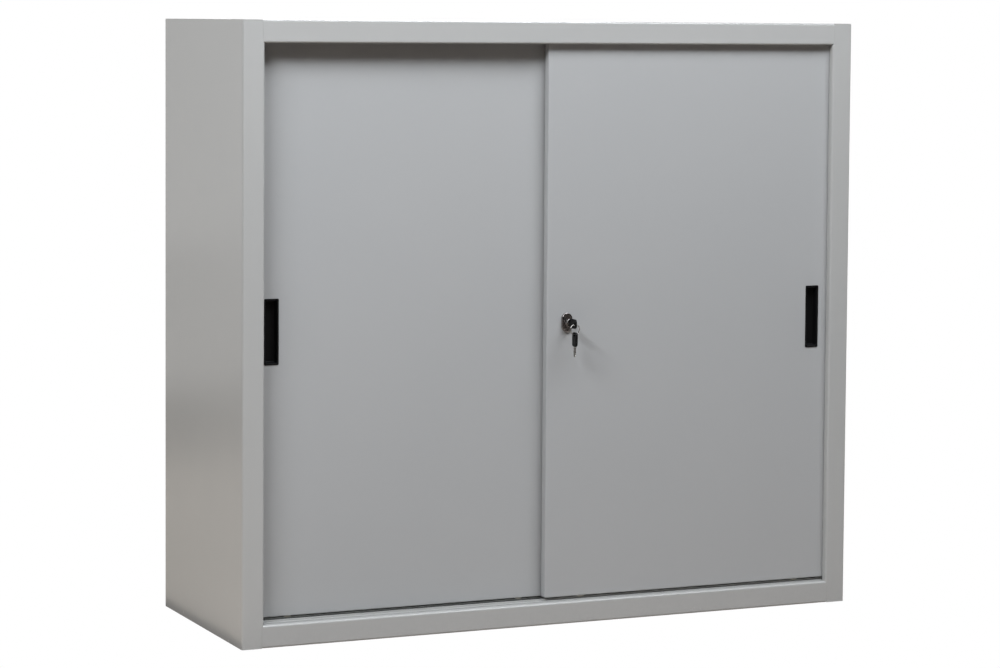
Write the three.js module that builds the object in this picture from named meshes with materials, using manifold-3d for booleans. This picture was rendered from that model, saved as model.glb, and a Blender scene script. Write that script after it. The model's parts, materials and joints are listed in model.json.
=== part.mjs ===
// Steel cabinet with two sliding doors, two shelves and a push lock, in millimetres, +Z up.
// X runs to the right as seen from the front, and the doors face -Y.
// The origin is the bottom centre of the box round the whole object, keys included.
import * as THREE from 'three';
import { mergeVertices } from 'three/addons/utils/BufferGeometryUtils.js';
import Module from 'manifold-3d';

const wasm = await Module();
wasm.setup();

// Driving dimensions of the cabinet
const width = 1200;
const depth = 435;
const height = 1090;
const frameFace = 40;
const plinthHeight = 40;
const sheet = 1;
const bendRadius = 1.6;
const frameBend = 3;
const bendSteps = 4;
const seam = 0.2;
const runningGap = 0.3;
const overrun = 5;

// Folds of the carcass sheets
const frameReturn = 12;
const rearFlange = 18;
const topSideFlange = 15;

// Doors: pans with folded edges, the right one in the front track
const doorSetback = 14;
const doorThickness = 16;
const doorPitch = 21;
const doorOverlap = 35;
const doorEdgeMargin = 23;
const doorBottomRise = 7;
const doorTopInset = 28;
const doorLip = 10;
const stiffenerWidth = 60;
const stiffenerBrim = 12;
const stiffenerDepth = 13.5;

// Recessed pulls
const pull = {
  width: 27,
  height: 116,
  rim: 1.5,
  proud: 0.8,
  wall: 1.5,
  depth: 14,
  corner: 2,
  centreHeights: { left: 548, right: 542 },
  centresFromSide: { left: 65, right: 70 },
};

// Running gear: grooved rollers below, nylon guides above
const roller = { radius: 10, grooveDepth: 1.5, grooveWidth: 3.6, width: 6, bore: 2.8, hub: 0.4, inset: 75 };
const axle = { radius: 2.5, headRadius: 4, headThickness: 1, rivetRadius: 3.2, rivetThickness: 0.6 };
const bracket = { sheet: 1.2, halfLength: 13, foot: 12, cheekGap: 0.6, bend: 1.2, headroom: 1.5 };
const rollerSlot = { halfLength: 12, halfWidth: 3.9 };
const track = { base: 1.2, edge: 8, ribWidth: 3, ribHeight: 3 };
const channel = { width: 16, wall: 1.5, drop: 21 };
const guide = {
  halfLength: 22,
  footThickness: 3,
  footCorner: 2,
  tongueHalfLength: 15,
  sideGap: 0.6,
  liftRoom: 7,
  inset: 75,
};
const buffer = { height: 60, width: 12, footWidth: 18, foot: 3, footCorner: 1, gap: 0.5 };

// Shelves, slotted uprights and hooked clips
const upright = { width: 22, depth: 12, sheet: 1.2, frontInset: 95, rearInset: 28, topClearance: 3 };
const slot = { width: 3.4, height: 14, pitch: 40, endMargin: 30 };
const shelf = { front: 82, rearGap: 6, edge: 25, lip: 12, sheet: 1, endGap: 3.2 };
const shelfSlotIndexes = { lower: 8, upper: 16 };
const clip = {
  thickness: 2.6,
  tongue: 18,
  tongueWidth: 16,
  tongueSheet: 1.6,
  body: 2,
  nose: 3.5,
  neck: 9,
  skirt: 5,
};

// Floor stiffener, a hat section across the cabinet
const hat = { width: 60, depth: 24, brim: 15 };

// Push lock in the stile of the front door
const lockFromDoorEdge = 39;
const lockHeight = 548;
const lockBody = {
  width: 20,
  height: 35,
  thickness: 5,
  edge: 0.8,
  sleeveRadius: 9,
  rearClearance: 2.6,
  rearWall: 1,
};
const plunger = { radius: 6.5, proud: 9, length: 20.6, fit: 0.2 };
const bolt = { radius: 3, tipRadius: 1.5, chamfer: 1.5, tailRadius: 1.8, tail: 1.6, proud: 0.8 };
const plug = { radius: 4.6, endWall: 1 };
const nut = { acrossFlats: 24, thickness: 3.5, sides: 6 };
const spring = { wire: 0.6, turns: 3, coilRadius: 5.1, stepsPerTurn: 12, sides: 5 };

// Keys and their split ring
const key = {
  bowLength: 26,
  bowWidth: 17,
  bowThickness: 4,
  bowCorner: 5,
  bladeWidth: 6.8,
  bladeThickness: 1.8,
  bladeLength: 17,
  neck: 2,
  tang: 10,
  holeRadius: 2.6,
  holeFromEnd: 4.8,
  tip: 2.4,
  cutPitch: 3,
  firstCut: 4.2,
  cutFlat: 0.4,
  fit: 0.2,
};
const cutDepths = [1.6, 0.8, 2.2, 1.2];
const ring = {
  radius: 9,
  wire: 1.3,
  turns: 1.9,
  startTurn: 0.3,
  crossShare: 0.06,
  coilGap: 0.25,
  stepsPerTurn: 24,
  sides: 6,
};

// Roundness of turned and rounded pieces
const turnedSides = 24;
const rollerSides = 20;
const axleSides = 12;
const cornerSteps = 3;

// Places that follow from the sizes above
const halfWidth = width / 2;
const frameInner = halfWidth - frameFace;
const bendOuter = bendRadius + sheet / 2;
const frameOuter = frameBend + sheet / 2;
const sideInner = halfWidth - sheet;
const panelInner = sideInner - seam;
const backRear = depth - sheet - seam;
const backFront = backRear - sheet;
const rearInner = backFront - seam;
const rearBend = depth - frameOuter;
const underTop = height - sheet - seam;
const doorOuter = halfWidth - doorEdgeMargin;
const doorInner = doorOverlap / 2;
const doorBottom = plinthHeight + doorBottomRise;
const doorTop = height - doorTopInset;
const frontTrack = doorSetback + doorThickness / 2;
const rearTrack = frontTrack + doorPitch;
const ribTop = plinthHeight + seam + track.base + track.ribHeight;
const axleHeight = ribTop + runningGap + roller.radius - roller.grooveDepth;
const channelRoof = underTop - channel.wall;
const keyReach = () => keyPlaces().spareFront;

// Finishes, one material for each mesh
const finishes = {
  paint: { color: 0xb4b8b9, roughness: 0.45, metalness: 0 },
  doorPaint: { color: 0xaeb3b5, roughness: 0.42, metalness: 0 },
  zinc: { color: 0xb9bcc0, roughness: 0.35, metalness: 1 },
  aluminium: { color: 0xc4c6c8, roughness: 0.4, metalness: 1 },
  chrome: { color: 0xd8d8d8, roughness: 0.12, metalness: 1 },
  nickel: { color: 0xbfbcb2, roughness: 0.25, metalness: 1 },
  blackPlastic: { color: 0x0c0c0d, roughness: 0.5, metalness: 0 },
  nylon: { color: 0xe6e3da, roughness: 0.55, metalness: 0 },
  rubber: { color: 0x1c1c1c, roughness: 0.85, metalness: 0 },
};

// Turns a closed geometry into a solid that can be joined and cut
function solid(geometry) {
  const bare = geometry.clone();
  bare.deleteAttribute('normal');
  bare.deleteAttribute('uv');
  const merged = mergeVertices(bare);
  return new wasm.Manifold(new wasm.Mesh({
    numProp: 3,
    vertProperties: new Float32Array(merged.attributes.position.array),
    triVerts: new Uint32Array(merged.index.array),
  }));
}

// Gives a solid back as a geometry for a mesh
function geometryOf(body) {
  const { vertProperties, triVerts } = body.getMesh();
  const geometry = new THREE.BufferGeometry();
  geometry.setAttribute('position', new THREE.BufferAttribute(vertProperties, 3));
  geometry.setIndex(new THREE.BufferAttribute(triVerts, 1));
  geometry.computeVertexNormals();
  return geometry;
}

const join = (first, ...others) => others.reduce((body, other) => body.add(other), first);
const cut = (first, ...others) => others.reduce((body, other) => body.subtract(other), first);
const point = (u, v) => new THREE.Vector2(u, v);
const mirrored = (points) => points.map((p) => point(-p.x, p.y));

// Box between two corners
function block([x0, x1], [y0, y1], [z0, z1]) {
  const geometry = new THREE.BoxGeometry(x1 - x0, y1 - y0, z1 - z0);
  return solid(geometry.translate((x0 + x1) / 2, (y0 + y1) / 2, (z0 + z1) / 2));
}

// Prisms of a section: drawn in X-Y and run along Z, drawn in Y-Z and run along X,
// or drawn in X-Z and run along Y
const axes = {
  alongZ: new THREE.Matrix4(),
  alongX: new THREE.Matrix4().makeBasis(
    new THREE.Vector3(0, 1, 0), new THREE.Vector3(0, 0, 1), new THREE.Vector3(1, 0, 0)),
  alongY: new THREE.Matrix4().makeBasis(
    new THREE.Vector3(1, 0, 0), new THREE.Vector3(0, 0, 1), new THREE.Vector3(0, -1, 0)),
};

function prism(section, way, from, to) {
  const shape = section instanceof THREE.Shape ? section : new THREE.Shape(section);
  const geometry = new THREE.ExtrudeGeometry(shape, {
    depth: to - from, bevelEnabled: false, curveSegments: cornerSteps,
  });
  const start = way === 'alongY' ? -to : from;
  return solid(geometry.translate(0, 0, start).applyMatrix4(axes[way]));
}

// Section of a bent sheet from the corners of its middle line, with a round bend at each corner
function bentSection(corners, thickness = sheet, radius = bendRadius) {
  const left = [];
  const right = [];
  const put = (at, direction) => {
    const side = point(-direction.y, direction.x).multiplyScalar(thickness / 2);
    left.push(at.clone().add(side));
    right.unshift(at.clone().sub(side));
  };
  const heading = (from, to) => to.clone().sub(from).normalize();
  put(corners[0], heading(corners[0], corners[1]));
  for (let i = 1; i < corners.length - 1; i += 1) {
    const arrive = heading(corners[i - 1], corners[i]);
    const leave = heading(corners[i], corners[i + 1]);
    const turn = Math.acos(arrive.dot(leave));
    const inward = leave.clone().addScaledVector(arrive, -arrive.dot(leave)).normalize();
    const start = corners[i].clone().addScaledVector(arrive, -radius * Math.tan(turn / 2));
    const centre = start.clone().addScaledVector(inward, radius);
    for (let step = 0; step <= bendSteps; step += 1) {
      const angle = (turn * step) / bendSteps;
      const at = centre.clone().addScaledVector(inward, -radius * Math.cos(angle));
      at.addScaledVector(arrive, radius * Math.sin(angle));
      const along = arrive.clone().multiplyScalar(Math.cos(angle)).addScaledVector(inward, Math.sin(angle));
      put(at, along);
    }
  }
  put(corners.at(-1), heading(corners.at(-2), corners.at(-1)));
  return [...left, ...right];
}

// Rectangle with round corners
function roundedRectangle(sizeU, sizeV, radius, centreU = 0, centreV = 0) {
  const shape = new THREE.Shape();
  const u = sizeU / 2;
  const v = sizeV / 2;
  const r = Math.min(radius, u, v);
  shape.moveTo(centreU - u + r, centreV - v);
  shape.lineTo(centreU + u - r, centreV - v);
  shape.absarc(centreU + u - r, centreV - v + r, r, -Math.PI / 2, 0);
  shape.lineTo(centreU + u, centreV + v - r);
  shape.absarc(centreU + u - r, centreV + v - r, r, 0, Math.PI / 2);
  shape.lineTo(centreU - u + r, centreV + v);
  shape.absarc(centreU - u + r, centreV + v - r, r, Math.PI / 2, Math.PI);
  shape.lineTo(centreU - u, centreV - v + r);
  shape.absarc(centreU - u + r, centreV - v + r, r, Math.PI, 1.5 * Math.PI);
  return shape;
}

// Round bar or turned piece about an axis along Y: profile points are [radius, y]
function turned(profile, x, z, sides = turnedSides) {
  const points = profile.map(([radius, y]) => point(radius, y));
  return solid(new THREE.LatheGeometry(points, sides).translate(x, 0, z));
}

function bar(radius, y0, y1, x, z, sides = turnedSides) {
  return turned([[0, y0], [radius, y0], [radius, y1], [0, y1]], x, z, sides);
}

// Tray of folded sheet, outer face up at zero, edges folded down and turned in
function foldedTray(sizeU, sizeV, edge, lip, thickness) {
  const half = thickness / 2;
  const section = (size) => bentSection([
    point(-size / 2 + lip, -edge + half),
    point(-size / 2 + half, -edge + half),
    point(-size / 2 + half, -half),
    point(size / 2 - half, -half),
    point(size / 2 - half, -edge + half),
    point(size / 2 - lip, -edge + half),
  ], thickness);
  const reach = (size) => size / 2 - bendRadius - half;
  const across = prism(section(sizeU), 'alongY', -reach(sizeV), reach(sizeV));
  const along = prism(section(sizeV), 'alongX', -reach(sizeU), reach(sizeU));
  return join(across, along);
}

const cabinet = new THREE.Group();
const carcass = new THREE.Group();
cabinet.add(carcass);

function addMesh(name, body, finish) {
  const mesh = new THREE.Mesh(geometryOf(body), new THREE.MeshStandardMaterial(finishes[finish]));
  mesh.name = name;
  carcass.add(mesh);
}

// Outline in X-Z of a cross member of the frame, from the edge at the doors outwards. Its ends are
// cut along the mitre of the two bends and then straight down the flat of the stiles.
function crossMember(doorEdge, outwards, gap) {
  const start = frameInner - gap;
  const end = start + frameOuter;
  const shoulder = doorEdge + outwards * frameOuter;
  const right = [
    point(start, doorEdge - outwards * overrun),
    point(start, doorEdge),
    point(end, shoulder),
    point(end, shoulder + outwards * frameFace),
  ];
  return prism([...right, ...mirrored(right).reverse()], 'alongY', -overrun, depth);
}

const memberReach = frameInner + frameOuter;
const headerOutline = (gap) => crossMember(height - frameFace, 1, gap);
const railOutline = (gap) => crossMember(plinthHeight, -1, gap);

// Side panel: side, front stile with its return, and rear flange, folded from one sheet
function sidePanel(sign) {
  const half = sheet / 2;
  const corners = [
    point(-frameInner - half, frameReturn),
    point(-frameInner - half, half),
    point(-halfWidth + half, half),
    point(-halfWidth + half, depth - half),
    point(-halfWidth + rearFlange, depth - half),
  ];
  const section = bentSection(sign < 0 ? corners : mirrored(corners), sheet, frameBend);
  return cut(prism(section, 'alongZ', 0, underTop), headerOutline(0), railOutline(0));
}

// Top panel: cover sheet over the sides, front header with its return, rear and side flanges
function topPanel() {
  const half = sheet / 2;
  const middle = depth / 2;
  const reach = memberReach - seam;
  const outline = roundedRectangle(width, depth, frameOuter, 0, middle);
  const cover = prism(outline, 'alongZ', height - sheet, height);
  const corner = block(
    [-reach, reach], [-overrun, frameOuter], [height - frameOuter, height + overrun]);
  const header = prism(bentSection([
    point(frameReturn, height - frameFace + half),
    point(half, height - frameFace + half),
    point(half, height - half),
    point(middle, height - half),
  ], sheet, frameBend), 'alongX', -reach, reach).intersect(headerOutline(seam));
  const rear = block(
    [-halfWidth + rearFlange + seam, halfWidth - rearFlange - seam],
    [depth - sheet, depth], [height - rearFlange, height - half]);
  const flanges = [-1, 1].map((sign) => block(
    [sign * panelInner, sign * (panelInner - sheet)].sort((a, b) => a - b),
    [frameReturn, rearBend],
    [height - topSideFlange, height - half],
  ));
  return join(cut(cover, corner), header, rear, ...flanges);
}

// Base panel: floor, front rail with its foot lip, and flanges down to the ground. Its rear corners
// are relieved for the bends of the side panels.
function basePanel() {
  const half = sheet / 2;
  const frontRail = prism(bentSection([
    point(frameReturn, half),
    point(half, half),
    point(half, plinthHeight - half),
    point(depth / 2, plinthHeight - half),
  ], sheet, frameBend), 'alongX', -memberReach + seam, memberReach - seam).intersect(railOutline(seam));
  const tray = prism(bentSection([
    point(-panelInner + half, 0),
    point(-panelInner + half, plinthHeight - half),
    point(panelInner - half, plinthHeight - half),
    point(panelInner - half, 0),
  ]), 'alongY', frameReturn + seam, rearInner);
  const flangeInner = panelInner - sheet;
  const rear = block([-flangeInner, flangeInner], [rearInner - sheet, rearInner], [0, plinthHeight - half]);
  const reliefs = [-1, 1].map((sign) => block(
    [sign * flangeInner, sign * (panelInner + overrun)].sort((a, b) => a - b),
    [rearBend, depth],
    [-overrun, plinthHeight + overrun],
  ));
  return cut(join(frontRail, tray, rear), ...reliefs);
}

// Back panel: lies against the rear flanges, clear of the round of their bends
function backPanel() {
  const reach = panelInner - frameBend;
  return block([-reach, reach], [backFront, backRear], [0, underTop]);
}

function floorStiffener() {
  const top = plinthHeight - sheet - seam;
  const half = sheet / 2;
  const side = hat.width / 2;
  const section = bentSection([
    point(-side - hat.brim, top - half),
    point(-side, top - half),
    point(-side, top - hat.depth + half),
    point(side, top - hat.depth + half),
    point(side, top - half),
    point(side + hat.brim, top - half),
  ].map((p) => point(p.x + depth / 2, p.y)));
  const reach = panelInner - sheet - bendOuter;
  return prism(section, 'alongX', -reach, reach);
}

// Extruded tracks: two channels above, two raised ribs below
function topGuideTrack() {
  const reach = panelInner - sheet - seam;
  const front = frontTrack - channel.width / 2 - channel.wall;
  const rear = rearTrack + channel.width / 2 + channel.wall;
  const roof = block([-reach, reach], [front, rear], [channelRoof, underTop]);
  const legs = [frontTrack, rearTrack].flatMap((centre) => [-1, 1].map((side) => {
    const inner = centre + (side * channel.width) / 2;
    const outer = inner + side * channel.wall;
    return block([-reach, reach], [Math.min(inner, outer), Math.max(inner, outer)],
      [underTop - channel.drop, underTop]);
  }));
  return join(roof, ...legs);
}

function bottomTrack() {
  const reach = panelInner - seam;
  const bottom = plinthHeight + seam;
  const base = block([-reach, reach], [frontTrack - track.edge, rearTrack + track.edge],
    [bottom, bottom + track.base]);
  const ribs = [frontTrack, rearTrack].map((centre) => block([-reach, reach],
    [centre - track.ribWidth / 2, centre + track.ribWidth / 2], [bottom, ribTop]));
  return join(base, ...ribs);
}

// Rubber buffer that stops a door, with a foot on the side panel
function doorBuffer(sign, centre) {
  const wallSide = sideInner - seam;
  const tip = doorOuter + buffer.gap;
  const shape = roundedRectangle(wallSide - tip, buffer.width, buffer.width / 2,
    (wallSide + tip) / 2, centre);
  const foot = roundedRectangle(buffer.foot, buffer.footWidth, buffer.footCorner,
    wallSide - buffer.foot / 2, centre);
  const nose = block([wallSide - buffer.width / 2 - seam, wallSide],
    [centre - buffer.width / 2, centre + buffer.width / 2], [0, buffer.height]);
  const [post, seat] = [shape, foot].map((outline) => prism(outline, 'alongZ', 0, buffer.height));
  const placed = join(post, seat, nose).translate([0, 0, lockHeight - buffer.height / 2]);
  return sign > 0 ? placed : placed.mirror([1, 0, 0]);
}

// Slotted upright: a channel with its slotted web towards the inside
const uprightBottom = plinthHeight + seam;
const uprightTop = height - topSideFlange - upright.topClearance;
const uprightFace = panelInner - upright.depth;
const uprightCentres = { front: upright.frontInset, rear: depth - upright.rearInset };
const slotCount = Math.floor((uprightTop - uprightBottom - 2 * slot.endMargin) / slot.pitch) + 1;
const slotBottom = (index) => uprightBottom + slot.endMargin + index * slot.pitch;

function slottedUpright(sign, centre) {
  const half = upright.sheet / 2;
  const corners = [
    point(panelInner, centre - upright.width / 2 + half),
    point(uprightFace + half, centre - upright.width / 2 + half),
    point(uprightFace + half, centre + upright.width / 2 - half),
    point(panelInner, centre + upright.width / 2 - half),
  ];
  const body = prism(bentSection(corners, upright.sheet), 'alongZ', uprightBottom, uprightTop);
  const slots = Array.from({ length: slotCount }, (_, index) => block(
    [uprightFace - overrun, uprightFace + upright.sheet + seam],
    [centre - slot.width / 2, centre + slot.width / 2],
    [slotBottom(index), slotBottom(index) + slot.height]));
  const placed = cut(body, ...slots);
  return sign > 0 ? placed : placed.mirror([1, 0, 0]);
}

// Clip: a hook through the slot and a tongue under the shelf
const tongueTop = (index) => slotBottom(index) - clip.skirt + clip.tongueSheet;

function shelfClip(sign, centre, index) {
  const webBack = uprightFace + upright.sheet;
  const neckBottom = slotBottom(index) + runningGap;
  const neckTop = neckBottom + clip.neck;
  const thickness = [centre - clip.thickness / 2, centre + clip.thickness / 2];
  const nose = block([webBack + runningGap, webBack + runningGap + clip.body], thickness,
    [neckBottom - clip.nose, neckTop]);
  const neck = block([uprightFace - runningGap - clip.body, webBack + runningGap + clip.body], thickness,
    [neckBottom, neckTop]);
  const body = block([uprightFace - runningGap - clip.body, uprightFace - runningGap], thickness,
    [tongueTop(index) - clip.tongueSheet, neckTop]);
  const tongue = block([uprightFace - clip.tongue, uprightFace - runningGap],
    [centre - clip.tongueWidth / 2, centre + clip.tongueWidth / 2],
    [tongueTop(index) - clip.tongueSheet, tongueTop(index)]);
  const placed = join(nose, neck, body, tongue);
  return sign > 0 ? placed : placed.mirror([1, 0, 0]);
}

function shelfTray(index) {
  const reach = uprightFace - shelf.endGap;
  const rear = rearInner - shelf.rearGap;
  const top = tongueTop(index) + seam + shelf.edge;
  return foldedTray(2 * reach, rear - shelf.front, shelf.edge, shelf.lip, shelf.sheet)
    .translate([0, (shelf.front + rear) / 2, top]);
}

// Door pan with its cut-outs, face towards the front
const faceForward = [1, 0, 0, 0, 0, 0, 1, 0, 0, -1, 0, 0, 0, 0, 0, 1];

function doorPan({ left, right, face, pullX, pullZ, lockX }) {
  const centre = (left + right) / 2;
  const tray = foldedTray(right - left, doorTop - doorBottom, doorThickness, doorLip, sheet)
    .transform(faceForward)
    .translate([centre, face, (doorTop + doorBottom) / 2]);
  const grip = roundedRectangle(pull.width - 2 * pull.rim + 2 * seam, pull.height - 2 * pull.rim + 2 * seam,
    pull.corner, pullX, pullZ);
  const cuts = [prism(grip, 'alongY', face - overrun, face + overrun)];
  rollerPlaces(left, right).forEach((x) => cuts.push(block(
    [x - rollerSlot.halfLength, x + rollerSlot.halfLength],
    [face + doorThickness / 2 - rollerSlot.halfWidth, face + doorThickness / 2 + rollerSlot.halfWidth],
    [doorBottom - overrun, doorBottom + sheet + seam])));
  if (lockX !== undefined) {
    cuts.push(bar(lockBody.sleeveRadius + seam, face - overrun, face + overrun, lockX, lockHeight));
  }
  return cut(tray, ...cuts);
}

const rollerPlaces = (left, right) => [left + roller.inset, right - roller.inset];
const guidePlaces = (left, right) => [left + guide.inset, right - guide.inset];

// Hat section behind the middle of the door
function doorStiffener({ left, right, face }) {
  const half = sheet / 2;
  const near = face + sheet + seam + half;
  const far = near + stiffenerDepth - sheet;
  const side = stiffenerWidth / 2;
  const section = bentSection([
    point(-side - stiffenerBrim, near),
    point(-side, near),
    point(-side, far),
    point(side, far),
    point(side, near),
    point(side + stiffenerBrim, near),
  ].map((p) => point(p.x + (left + right) / 2, p.y)));
  return prism(section, 'alongZ', doorBottom + bendOuter + seam, doorTop - bendOuter - seam);
}

// Recessed pull: thin rim on the face and a cup behind it
function doorPull({ face, pullX, pullZ }) {
  const place = [pullX, pullZ];
  const cupWidth = pull.width - 2 * pull.rim;
  const cupHeight = pull.height - 2 * pull.rim;
  const rimBack = face - seam;
  const rim = prism(roundedRectangle(pull.width, pull.height, pull.corner, ...place), 'alongY',
    rimBack - pull.proud, rimBack);
  const cup = prism(roundedRectangle(cupWidth, cupHeight, pull.corner, ...place), 'alongY',
    rimBack - pull.proud / 2, rimBack + pull.depth);
  const hollow = prism(
    roundedRectangle(cupWidth - 2 * pull.wall, cupHeight - 2 * pull.wall, pull.corner, ...place),
    'alongY', rimBack - overrun, rimBack + pull.depth - pull.wall);
  return cut(join(rim, cup), hollow);
}

// Grooved roller, its axle and its bracket
function doorRoller(x, centre) {
  const side = roller.width / 2;
  const groove = roller.grooveWidth / 2;
  const hub = roller.bore + 2 * roller.hub;
  const bottom = roller.radius - roller.grooveDepth;
  return turned([
    [roller.bore, centre - side - roller.hub],
    [hub, centre - side - roller.hub],
    [hub, centre - side],
    [roller.radius, centre - side],
    [roller.radius, centre - groove],
    [bottom, centre - groove],
    [bottom, centre + groove],
    [roller.radius, centre + groove],
    [roller.radius, centre + side],
    [hub, centre + side],
    [hub, centre + side + roller.hub],
    [roller.bore, centre + side + roller.hub],
    [roller.bore, centre - side - roller.hub],
  ], x, axleHeight, rollerSides);
}

const cheekOuter = roller.width / 2 + bracket.cheekGap + bracket.sheet;

function rollerAxle(x, centre) {
  const front = centre - cheekOuter - seam;
  const rear = centre + cheekOuter + seam;
  return turned([
    [0, front - axle.headThickness],
    [axle.headRadius, front - axle.headThickness],
    [axle.headRadius, front],
    [axle.radius, front],
    [axle.radius, rear],
    [axle.rivetRadius, rear],
    [axle.rivetRadius, rear + axle.rivetThickness],
    [0, rear + axle.rivetThickness],
  ], x, axleHeight, axleSides);
}

function rollerBracket(x, centre) {
  const half = bracket.sheet / 2;
  const seat = doorBottom + sheet + seam;
  const crown = axleHeight + roller.radius + bracket.headroom + half;
  const cheek = cheekOuter - half;
  const section = bentSection([
    point(centre - cheek, seat),
    point(centre - cheek, crown),
    point(centre + cheek, crown),
    point(centre + cheek, seat),
  ], bracket.sheet, bracket.bend);
  const frame = prism(section, 'alongX', x - bracket.halfLength, x + bracket.halfLength);
  const feet = [-1, 1].map((side) => {
    const ends = [bracket.halfLength - bracket.sheet, bracket.halfLength + bracket.foot];
    const span = ends.map((end) => x + side * end).sort((a, b) => a - b);
    return block(span, [centre - cheekOuter, centre + cheekOuter], [seat, seat + bracket.sheet]);
  });
  const hole = bar(axle.radius + seam, centre - cheekOuter - overrun, centre + cheekOuter + overrun,
    x, axleHeight, axleSides);
  return cut(join(frame, ...feet), hole);
}

// Nylon guide: a foot on the door's top edge and a tongue in the channel
function topGuide(x, centre) {
  const tongueWidth = channel.width - 2 * guide.sideGap;
  const seat = doorTop + seam;
  const footShape = roundedRectangle(2 * guide.halfLength, tongueWidth, guide.footCorner, x, centre);
  const tongueShape = roundedRectangle(2 * guide.tongueHalfLength, tongueWidth, tongueWidth / 2, x, centre);
  const foot = prism(footShape, 'alongZ', seat, seat + guide.footThickness);
  const tongue = prism(tongueShape, 'alongZ', seat, channelRoof - guide.liftRoom);
  return join(foot, tongue);
}

function addDoor(door) {
  const centre = door.face + doorThickness / 2;
  addMesh(`${door.name}_panel`, doorPan(door), 'doorPaint');
  addMesh(`${door.name}_stiffener`, doorStiffener(door), 'doorPaint');
  addMesh(`${door.name}_pull`, doorPull(door), 'blackPlastic');
  rollerPlaces(door.left, door.right).forEach((x, index) => {
    const side = ['left', 'right'][index];
    addMesh(`${door.name}_roller_${side}`, doorRoller(x, centre), 'nylon');
    addMesh(`${door.name}_axle_${side}`, rollerAxle(x, centre), 'zinc');
    addMesh(`${door.name}_bracket_${side}`, rollerBracket(x, centre), 'zinc');
  });
  guidePlaces(door.left, door.right).forEach((x, index) => {
    addMesh(`${door.name}_guide_${['left', 'right'][index]}`, topGuide(x, centre), 'nylon');
  });
}

// Places along Y of the lock, from the face of the front door
const lockX = -doorInner + lockFromDoorEdge;
const bodyFront = doorSetback - lockBody.thickness;
const sleeveRear = doorSetback + doorPitch - lockBody.rearClearance;
const plungerFront = bodyFront - plunger.proud;
const plungerRear = plungerFront + plunger.length;
const keywayEnd = plungerFront + key.bladeLength + key.fit;
const plugRear = keywayEnd + plug.endWall;

// Lock housing: oblong head on the door, sleeve through it, wall with a hole for the bolt
function lockHousing() {
  const back = doorSetback - seam;
  const head = (inset) => roundedRectangle(lockBody.width - 2 * inset, lockBody.height - 2 * inset,
    lockBody.width / 2 - inset, lockX, lockHeight);
  const sleeve = bar(lockBody.sleeveRadius, back - seam, sleeveRear, lockX, lockHeight);
  const bore = bar(plunger.radius + plunger.fit, bodyFront - overrun, sleeveRear - lockBody.rearWall,
    lockX, lockHeight);
  const boltHole = bar(bolt.radius + plunger.fit, bodyFront, sleeveRear + overrun, lockX, lockHeight);
  return cut(join(
    prism(head(0), 'alongY', bodyFront + lockBody.edge, back),
    prism(head(lockBody.edge / 2), 'alongY', bodyFront, back),
    sleeve,
  ), bore, boltHole);
}

function lockNut() {
  const front = doorSetback + sheet + seam;
  const radius = nut.acrossFlats / 2 / Math.cos(Math.PI / nut.sides);
  return cut(bar(radius, front, front + nut.thickness, lockX, lockHeight, nut.sides),
    bar(lockBody.sleeveRadius + seam, front - overrun, front + nut.thickness + overrun, lockX, lockHeight));
}

function lockPlunger() {
  return cut(bar(plunger.radius, plungerFront, plungerRear, lockX, lockHeight),
    bar(plug.radius + plunger.fit, plungerFront - overrun, plugRear + seam, lockX, lockHeight),
    bar(bolt.tailRadius + plunger.fit / 2, plungerRear - bolt.tail - seam, plungerRear + overrun,
      lockX, lockHeight));
}

function lockBolt() {
  const start = plungerRear + seam;
  const tip = sleeveRear + bolt.proud;
  return turned([
    [0, plungerRear - bolt.tail],
    [bolt.tailRadius, plungerRear - bolt.tail],
    [bolt.tailRadius, start],
    [bolt.radius, start],
    [bolt.radius, tip - bolt.chamfer],
    [bolt.tipRadius, tip],
    [0, tip],
  ], lockX, lockHeight);
}

function lockPlug() {
  const slotFit = key.fit;
  return cut(bar(plug.radius, plungerFront, plugRear, lockX, lockHeight),
    block([lockX - key.bladeThickness / 2 - slotFit, lockX + key.bladeThickness / 2 + slotFit],
      [plungerFront - overrun, keywayEnd],
      [lockHeight - key.bladeWidth / 2 - slotFit, lockHeight + key.bladeWidth / 2 + slotFit]));
}

// Path of a wire wound about an axis along Y: its rise along the path is a share of the whole rise
class WoundPath extends THREE.Curve {
  constructor(radius, turns, rise, startTurn, riseShare) {
    super();
    Object.assign(this, { radius, turns, rise, startTurn, riseShare });
  }

  getPoint(share) {
    const angle = (share * this.turns + this.startTurn) * 2 * Math.PI;
    const y = (this.riseShare(share) - 0.5) * this.rise;
    return new THREE.Vector3(this.radius * Math.sin(angle), y, this.radius * Math.cos(angle));
  }
}

function wire(path, radius, sides, steps) {
  const section = new THREE.Shape();
  for (let i = 0; i < sides; i += 1) {
    const angle = (2 * Math.PI * (i + 0.5)) / sides;
    const at = [radius * Math.cos(angle), radius * Math.sin(angle)];
    if (i === 0) section.moveTo(...at);
    else section.lineTo(...at);
  }
  return solid(new THREE.ExtrudeGeometry(section, { steps, extrudePath: path, bevelEnabled: false }));
}

function lockSpring() {
  const front = plungerRear + runningGap + spring.wire / 2;
  const rear = sleeveRear - lockBody.rearWall - runningGap - spring.wire / 2;
  const path = new WoundPath(spring.coilRadius, spring.turns, rear - front, 0, (share) => share);
  return wire(path, spring.wire / 2, spring.sides, spring.turns * spring.stepsPerTurn)
    .translate([lockX, (front + rear) / 2, lockHeight]);
}

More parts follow.
